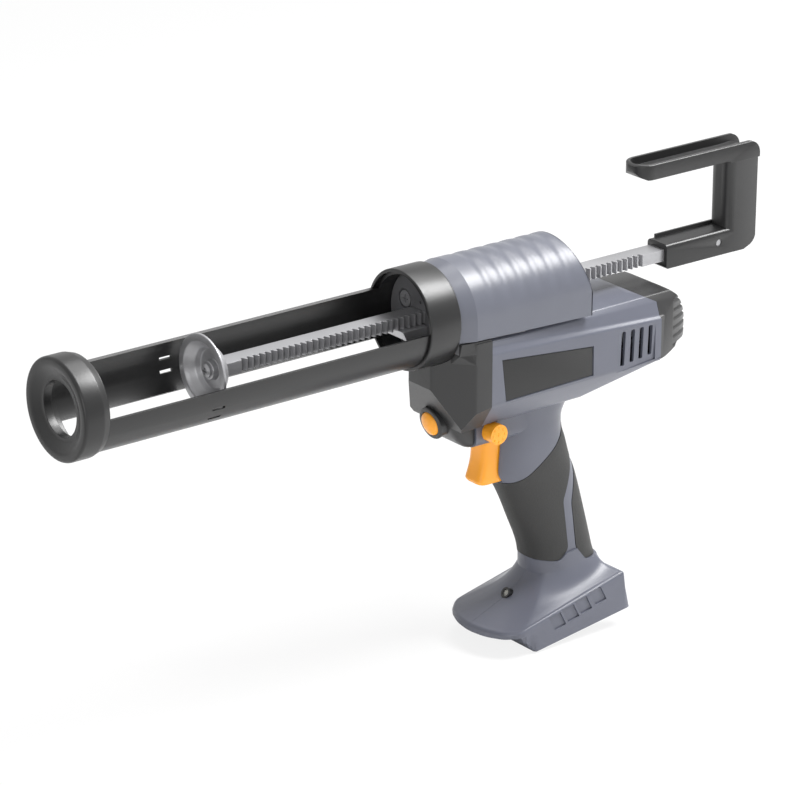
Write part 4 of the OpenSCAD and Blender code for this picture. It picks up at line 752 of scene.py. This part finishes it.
for side, y0, y1 in (("left", -60, -0.06), ("right", 0.06, 60)):
    half = block((200, y0, -260), (460, y1, 40), side + "_shell.piece")
    copy = shell.copy()
    copy.data = shell.data.copy()
    link(copy)
    combine(half, [copy], "INTERSECT")
    shaded(half, 28)
    fitted(half, "shell_plastic", "housing", side + "_shell")
bpy.data.objects.remove(shell)

# Grips. Two dark rubber sleeves are moulded into the handle's recesses, one at the front under
# the trigger and one at the back, and stand a little above the plastic.

for name, outline in (("front_grip", FRONT_GRIP), ("rear_grip", REAR_GRIP)):
    piece = sleeve(name + ".piece", outline, 0.25, 1.3, 0.25)
    shaded(piece, 35)
    fitted(piece, "rubber", "housing", name)

# Front cover. A dark faceted moulding closes the gearbox under the collar: a narrow front, a
# broad slanted facet on each side, a lower face that carries the release button's boss, and a
# chin before the lever. It clips onto the two shells.

CHIN_X = 249.5
LOWER_FACE = -0.89, 0, -0.457


def past(name, point, out, reach=90.0):
    """Thick slab on the outer side of a plane through the point with the outward normal given."""
    n = Vector(out).normalized()
    turn = np.array(n.to_track_quat("Z", "Y").to_matrix())
    corners = [(-reach, -reach, 0), (reach, -reach, 0), (reach, reach, 0), (-reach, reach, 0)]
    square = np.array(corners) @ turn.T + point
    return skin(name, [square, square + reach * np.array(n)])


def studded(name, profile, cols=72):
    """Closed profile of (distance outwards, radius) turned about the release button's axis."""
    turn = np.array(Vector(OUT).to_track_quat("Z", "Y").to_matrix())
    d, r = np.asarray(profile, float).T
    a = around(cols)
    outwards = np.outer(d, np.ones(cols))
    grid = np.stack([np.outer(r, np.cos(a)), np.outer(r, np.sin(a)), outwards], -1)
    return skin(name, grid @ turn.T + BOSS, sharp=40)


def mirrored(right, z):
    """Level outline of the cover: the points (x, y) of its right side and their mirror images,
    at one height or at one for each point."""
    z = np.broadcast_to(z, len(right))
    near = [(x, y, h) for (x, y), h in zip(right, z)]
    return near[:1] + [(x, -y, h) for x, y, h in near] + near[:0:-1]


plan = [(237.2, 10), (237.2, -10), (254, -29.4), (SEAM_X, -30), (SEAM_X, 30), (254, 29.4)]
plan = eased(plan, [0.9, 0.9, 1.2, 0.1, 0.1, 1.2])
cover = prism("front_cover.piece", plan, -66.6, -13.1, axis=2)
trims = [past("lower face", (237.2, 0, -41.7), LOWER_FACE)]
trims += [past("bevel", (SEAM_X, s * 30, -52), (9.66, s * 162, -103.7)) for s in (-1, 1)]
combine(cover, trims, "DIFFERENCE")
stations = np.linspace(CHIN_X, SEAM_X, 16)
share = (stations - CHIN_X) / (SEAM_X - CHIN_X)
chin = keel("chin", stations, -66 - 16 * np.sin(np.pi / 2 * share) ** 0.85 - 0.2, 14.8)
boss = studded("boss", [(-20, 3), (-20, 9.6), (0, 9.6), (0.6, 9.2), (0.8, 8.6), (0.8, 3)])
shoulder = skin("shoulder", [
    mirrored([(244.6, 19), (254, 29.4), (SEAM_X, 30)], -25),
    mirrored([(244.6, 26.6), (254, 29.3), (SEAM_X, 29.8)], -18.6),
    mirrored([(244.6, 28.2), (254, 28.6), (SEAM_X, 29)], (-11.6, -11.9, -12.2)),
])
combine(cover, [chin, boss, shoulder], "UNION")
room_line = [(240.6, -7), (240.6, 7), (256.5, 26.6), (270, 27.4), (270, -27.4), (256.5, -26.6)]
room = prism("room", room_line, -56, 5, axis=2)
combine(room, [past("lower face", (239.9, 0, -41.7), LOWER_FACE)], "DIFFERENCE")
b = np.linspace(0, 2 * np.pi, 97)[:-1]
circle = np.stack([29.3 * np.sin(b), 29.3 * np.cos(b)], -1)
combine(cover, [
    room,
    prism("barrel room", circle, 200.0, 244.6, axis=0),
    block((200, -25.95, -18.3), (270, 25.95, 5)),
    drilled("well", BOSS - 12.4 * OUT, BOSS + 8 * OUT, 7.3),
    drilled("bore", BOSS - 40 * OUT, BOSS, 3.0),
    drilled("lock hole", *LOCK_HOLE),
    block((262, -8, -79), (270, 8, -61)),
    prism("bevel room", [(256, -50), (270, -50), (270, -63), (256, -60)], -19, 19),
], "DIFFERENCE")
shaded(cover, 24)
fitted(cover, "dark_plastic", "housing", "front_cover")

# Rear cap. A dark rounded end closes the motor's space behind a slanted seam. Its corners wrap
# round in plan, its top falls away to the rear, and cooling grooves run across its back.

CAP_DEEP, CAP_HALF = 37, 28
GROOVES, GROOVE_Z, GROOVE_PITCH, GROOVE_DEEP, GROOVE_HALF = 6, -50, 5.4, 35.6, 26.7
GROOVE_LINE = (-0.3, 1.6), (0.5, 0.4), (1.0, 0.0), (1.5, 0.0), (2.0, 0.4), (2.8, 1.6)
# Shares of the cap's depth, and how far its top has fallen at each.
CAP_SHARE = np.array([0.2, 0.34, 0.46, 0.62, 0.76, 0.88, 0.97, 1.0])
CAP_DROP = np.array([0, 0.6, 3.3, 8.8, 15.8, 24, 33, 38.0])


def cap_plan(deep, half):
    """Rounded rear line x = 387.25 + deep (1 - |y / half|^3), from the right to the left."""
    y = half * np.sin(np.linspace(-np.pi / 2, np.pi / 2, 49))
    return [(CAP_X + deep * (1 - abs(v / half) ** 3), v) for v in y]


def cap_form(name, inset):
    """The body's outline carried back to x = 430, kept inside the rounded plan and under the
    falling line of the top in side view."""
    form = skin(name, body_rows(np.linspace(372, 430, 12), inset), sharp=25)
    plan = [(360, -40), (CAP_X, -40)] + cap_plan(CAP_DEEP - inset, CAP_HALF - inset)
    plan += [(CAP_X, 40), (360, 40)]
    share = np.linspace(0.2, 1, 30)
    side = [(360, -80), (360, 0), (394, 0)]
    for a, b in zip(share, through(share, CAP_SHARE, CAP_DROP)):
        side.append((CAP_X + CAP_DEEP * a - inset, -13 - b - inset))
    side += [(CAP_X + x - inset, z) for x, z in ((36.6, -54), (35, -59.5), (32, -80))]
    limits = [prism("plan", plan, -90, 10, axis=2), prism("side", side, -60, 60)]
    return combine(form, limits, "INTERSECT")


cap = cap_form("rear_cap.piece", 0)
seam = [(300, 0), (379.15, 0), (379.15, -13), (390.65, -19.1), (390.65, -120), (300, -120)]
cuts = [cap_form("cap room", WALL), prism("seam", seam, -60, 60)]
floor_line = [(a, b) for a, b in cap_plan(GROOVE_DEEP, GROOVE_HALF) if a > 401]
for k in range(GROOVES):
    rows = []
    for up, out in GROOVE_LINE:
        z = GROOVE_Z + GROOVE_PITCH * k + up
        wall = [(a + out, b * (1 + out / GROOVE_HALF), z) for a, b in floor_line]
        rows.append(wall + [(440, 44, z), (440, -44, z)])
    cuts.append(skin("groove", rows))
combine(cap, cuts, "DIFFERENCE")
shaded(cap, 38)
fitted(cap, "dark_plastic", "housing", "rear_cap")

# Side panels. A thin black slanted plate, bare, is glued into a shallow recess on each side.
# It stands a little above its seat and its outer edges are bevelled.

outline = eased([(272.6, -26.3), (338.9, -33.4), (339.0, -50.3), (275.7, -50.9)], 0.5)
middle = outline.mean(0)
bevelled_line = middle + (outline - middle) * (0.994, 0.985)
for side, s in (("left", -1), ("right", 1)):
    rows = []
    for line, out in ((outline, 0.02), (outline, 0.32), (bevelled_line, 0.42)):
        x, z = line.T
        rows.append(np.stack([x, s * (seat_y(x) + out), z], -1))
    fitted(skin(side + "_panel.piece", rows, sharp=30), "panel", "housing", side + "_panel")

# Trigger. An orange lever with a hollowed front and a flared lower lip slides rearwards; a tab
# above it meets the lock pin and a stem behind it works the switch.

LEVER_TOP, LEVER_LENGTH, LIP = -82.7, 24.6, 2.9


def lever():
    """Rounded sections down the lever: with t from top to bottom the front is
    278 - 3.4 t + 1.4 sin(pi t), and the last rows turn in under the lip by a quarter round."""
    a = np.linspace(0, np.pi / 2, 8)[1:]
    z = np.concatenate([np.linspace(LEVER_TOP, -107.3, 24), -107.3 - LIP * np.sin(a)])
    tuck = np.concatenate([np.zeros(24), LIP * (1 - np.cos(a))])
    t = np.clip((LEVER_TOP - z) / LEVER_LENGTH, 0, 1)
    front = 278 - 3.4 * t + 1.4 * np.sin(np.pi * t) + tuck
    side = 7.9 - 0.9 * np.sin(np.pi * t) * 0.5 - 0.5 * tuck
    back = 293.8 - tuck
    corners = joined((front, -side), (back, -side), (back, side), (front, side))
    outlines = eased(corners, [4.6, 0.4, 0.4, 4.6], 8)
    return skin("trigger.piece", slices(z, outlines, 2), sharp=40)


trigger = lever()
tab_line = [
    (267.6, -82.8), (282, -83.2), (282, -78.9), (270.8, -78.9), (268.8, -76.4), (265.5, -76.4),
]
tab = prism("tab", tab_line, -2, 2)
combine(trigger, [tab, drilled("stem", (293, 0, -94), (309, 0, -94), 3)], "UNION")
shaded(trigger, 38)
fitted(trigger, "orange_plastic", "trigger", "trigger")

# Pressed, drawn and moulded parts with the CAD form kept: holder tube, rod, nose plate, guide
# and lock pin. Their edges are broken by a small round, as the real ones are.

EDGE_ANGLE, FLAT_ANGLE, WELD = 34, 0.6, 2e-6


def broken(piece, degrees, width, segments):
    """Rounds the edges of a piece that turn by more than the angle, over a width in mm."""
    edge = piece.modifiers.new("edges", "BEVEL")
    edge.limit_method = "ANGLE"
    edge.angle_limit = math.radians(degrees)
    edge.width = width / MM_PER_M
    edge.segments = segments
    return edge


def softened(node, width, slot, body):
    """Copy of a CAD node's mesh, joined and freed of flat edges, with its edges rounded."""
    form = bmesh.new()
    form.from_mesh(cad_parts[node].data)
    bmesh.ops.remove_doubles(form, verts=form.verts, dist=WELD)
    flat = math.radians(FLAT_ANGLE)
    bmesh.ops.dissolve_limit(form, angle_limit=flat, verts=form.verts, edges=form.edges)
    mesh = bpy.data.meshes.new(node + ".piece")
    form.to_mesh(mesh)
    form.free()
    piece = bpy.data.objects.new(node + ".piece", mesh)
    shaded(piece, EDGE_ANGLE)
    link(piece)
    broken(piece, EDGE_ANGLE, width, 2).harden_normals = True
    piece.modifiers.new("shading", "WEIGHTED_NORMAL").keep_sharp = True
    return fitted(piece, slot, body, node)


softened("holder_tube", 0.3, "black_metal", "holder")
softened("rack_rod", 0.25, "steel", "rod")
softened("nose_plate", 0.3, "grey_alloy", "housing")
softened("rack_guide", 0.4, "alloy", "housing")
softened("lock_pin", 0.35, "orange_plastic", "lock_pin")

# Release button. A domed orange button in the boss, with a stem behind it that runs into the
# housing; pressing it lets the rack run free.

dome = eased([(-7, 0.4), (-7, 7), (1.4, 7), (3.1, 3.6), (3.4, 0.4)], [0.1, 0.3, 1.2, 1.6, 0.1])
button = studded("release_button.piece", dome)
stem = drilled("stem", BOSS - 17 * OUT, BOSS - 5 * OUT, 2.5)
plug = drilled("plug", BOSS - 6.9 * OUT, BOSS + 3.3 * OUT, 0.6)
combine(button, [stem, plug], "UNION")
shaded(button, 38)
fitted(button, "orange_plastic", "release_button", "release_button")

# Hook handle. A black moulded channel pinned to the rod's end: a sleeve round the rod, a post
# with a rounded front, and an arm with a deep open trough and a half-round tip.

HOOK_X0, HOOK_X1, HOOK_TOP, HOOK_LOW, BEND = 410.25, 478.75, 58.0, -7.8, 8.0
ARM_LOW, TIP_X, TIP_R = 47.5, 398.25, 10
BEND_X, BEND_Z = HOOK_X1 - BEND, HOOK_TOP - BEND


def round_edge(low, high, at_low, at_high, steps=6):
    """Levels and insets of a body whose two end edges are quarter rounds of the radii given:
    inset = r (1 - sin a) at the level r (1 - cos a) in from the end."""
    a = np.linspace(0, np.pi / 2, steps)
    first = low + at_low * (1 - np.cos(a)), at_low * (1 - np.sin(a))
    last = high - at_high * (1 - np.cos(a[::-1])), at_high * (1 - np.sin(a[::-1]))
    return np.concatenate([first[0], last[0]]), np.concatenate([first[1], last[1]])


def tongue(inset):
    """Plan of the arm, drawn in all round: a half-round tip and straight sides."""
    a = np.linspace(np.pi / 2, 3 * np.pi / 2, 25)
    r = TIP_R - inset
    tip = np.stack([TIP_X + r * np.cos(a), r * np.sin(a)], -1)
    return np.concatenate([tip, [(490, -r), (490, r)]])


def bend(x, z, r, degrees):
    """Points of an arc of radius r about (x, z)."""
    return [(x + r * math.cos(b), z + r * math.sin(b)) for b in np.radians(degrees)]


quarter = np.linspace(0, 90, 13)
side_line = [(HOOK_X0, HOOK_LOW + 1), (HOOK_X0 + 1, HOOK_LOW), (BEND_X - 1, HOOK_LOW)]
side_line += bend(BEND_X, HOOK_LOW + BEND + 1, BEND, [-75, -60, -45, -30, -15])
side_line += bend(BEND_X, BEND_Z, BEND, quarter)
side_line += [
    (391, HOOK_TOP), (388.6, HOOK_TOP - 1), (388.25, HOOK_TOP - 3), (388.8, HOOK_TOP - 5),
    (390.6, HOOK_TOP - 7.4), (394.2, HOOK_TOP - 9), (455, HOOK_TOP - 9),
    (456.25, HOOK_TOP - 10.2), (456.25, 8), (455.4, 6.9), (HOOK_X0, 6.9),
]
levels, insets = round_edge(ARM_LOW, HOOK_TOP, 0.1, 0.9)
arm = skin("arm", slices(levels, [tongue(d) for d in insets], 2))
post_plan = [(456.25, -8.5), (490, -8.5), (490, 8.5), (456.25, 8.5)]
post_plan = eased(post_plan, [6.4, 0.1, 0.1, 6.4], 12)
sleeve_face = eased([(-8.5, -9), (8.5, -9), (8.5, 6.9), (-8.5, 6.9)], [2.2, 2.2, 3, 3], 8)
post = prism("post", post_plan, -20, 48.5, axis=2)
sleeve_body = prism("sleeve body", sleeve_face, HOOK_X0, 474, axis=0)
combine(arm, [post, sleeve_body], "UNION")
combine(arm, [prism("side line", side_line, -12, 12)], "INTERSECT")
combine(arm, [block((414.25, 6.1, 4), (458, 7.5, 8.7), "lip")], "UNION")
trough_line = [(370, 80), (370, HOOK_TOP - 4.6), (BEND_X - 8, HOOK_TOP - 4.6)]
trough_line += bend(BEND_X, BEND_Z, BEND / 2, quarter[::-1])
trough_line += [(HOOK_X1 - 4, 10.9), (HOOK_X1 + 4, 6.9), (HOOK_X1 + 4, 80)]
scoop = prism("scoop", trough_line, -12, 12)
wide = skin("wide", slices(round_edge(ARM_LOW, 62, 0.1, 0.1, 2)[0], [tongue(2.4)] * 4, 2))
combine(wide, [block((457, -6.3, 0), (483, 6.3, 62), "narrow")], "UNION")
combine(scoop, [wide], "INTERSECT")
rod_room = block((400, -6.02, -3.52), (462.4, 6.02, 3.52))
pin_hole = drilled("pin hole", (450.25, -20, 0), (450.25, 20, 0), 2.02)
combine(arm, [scoop, rod_room, pin_hole], "DIFFERENCE")
arm.name = "hook_handle.piece"
broken(arm, 40, 0.6, 3)
applied(arm)
shaded(arm, 32)
fitted(arm, "black_plastic", "rod", "hook_handle")

# Return springs. Steel wire coils: the trigger's sits round its stem against the switch, the
# button's in its well.

WIRE, STEPS_PER_TURN = 0.4, 40


def coil(name, start, way, length, radius, turns):
    """Tube along a helix: at s the centre is start + s length way + radius (cos, sin) of
    2 pi turns s, and the wire's ring stands square to the path."""
    way = np.asarray(way, float) / np.linalg.norm(way)
    base = np.array(Vector(way).to_track_quat("Z", "Y").to_matrix())
    s = np.linspace(0, 1, turns * STEPS_PER_TURN + 1)[:, None]
    a = 2 * np.pi * turns * s
    out = np.cos(a) * base[:, 0] + np.sin(a) * base[:, 1]
    round_way = np.cos(a) * base[:, 1] - np.sin(a) * base[:, 0]
    along = 2 * np.pi * turns * radius * round_way + length * way
    along /= np.linalg.norm(along, axis=1, keepdims=True)
    up = np.cross(along, out)
    path = np.asarray(start, float) + s * length * way + radius * out
    b = around(12)[:, None]
    return skin(name, path[:, None] + WIRE * (np.cos(b) * out[:, None] + np.sin(b) * up[:, None]))


spring = coil("trigger_spring.piece", (294.6, 0, -94), (1, 0, 0), 9.9, 4.1, 6)
fitted(spring, "steel", "housing", "trigger_spring")
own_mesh(spring)
spring = coil("release_spring.piece", BOSS - 11.9 * OUT, OUT, 4.4, 4.4, 4)
fitted(spring, "steel", "housing", "release_spring")
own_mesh(spring)
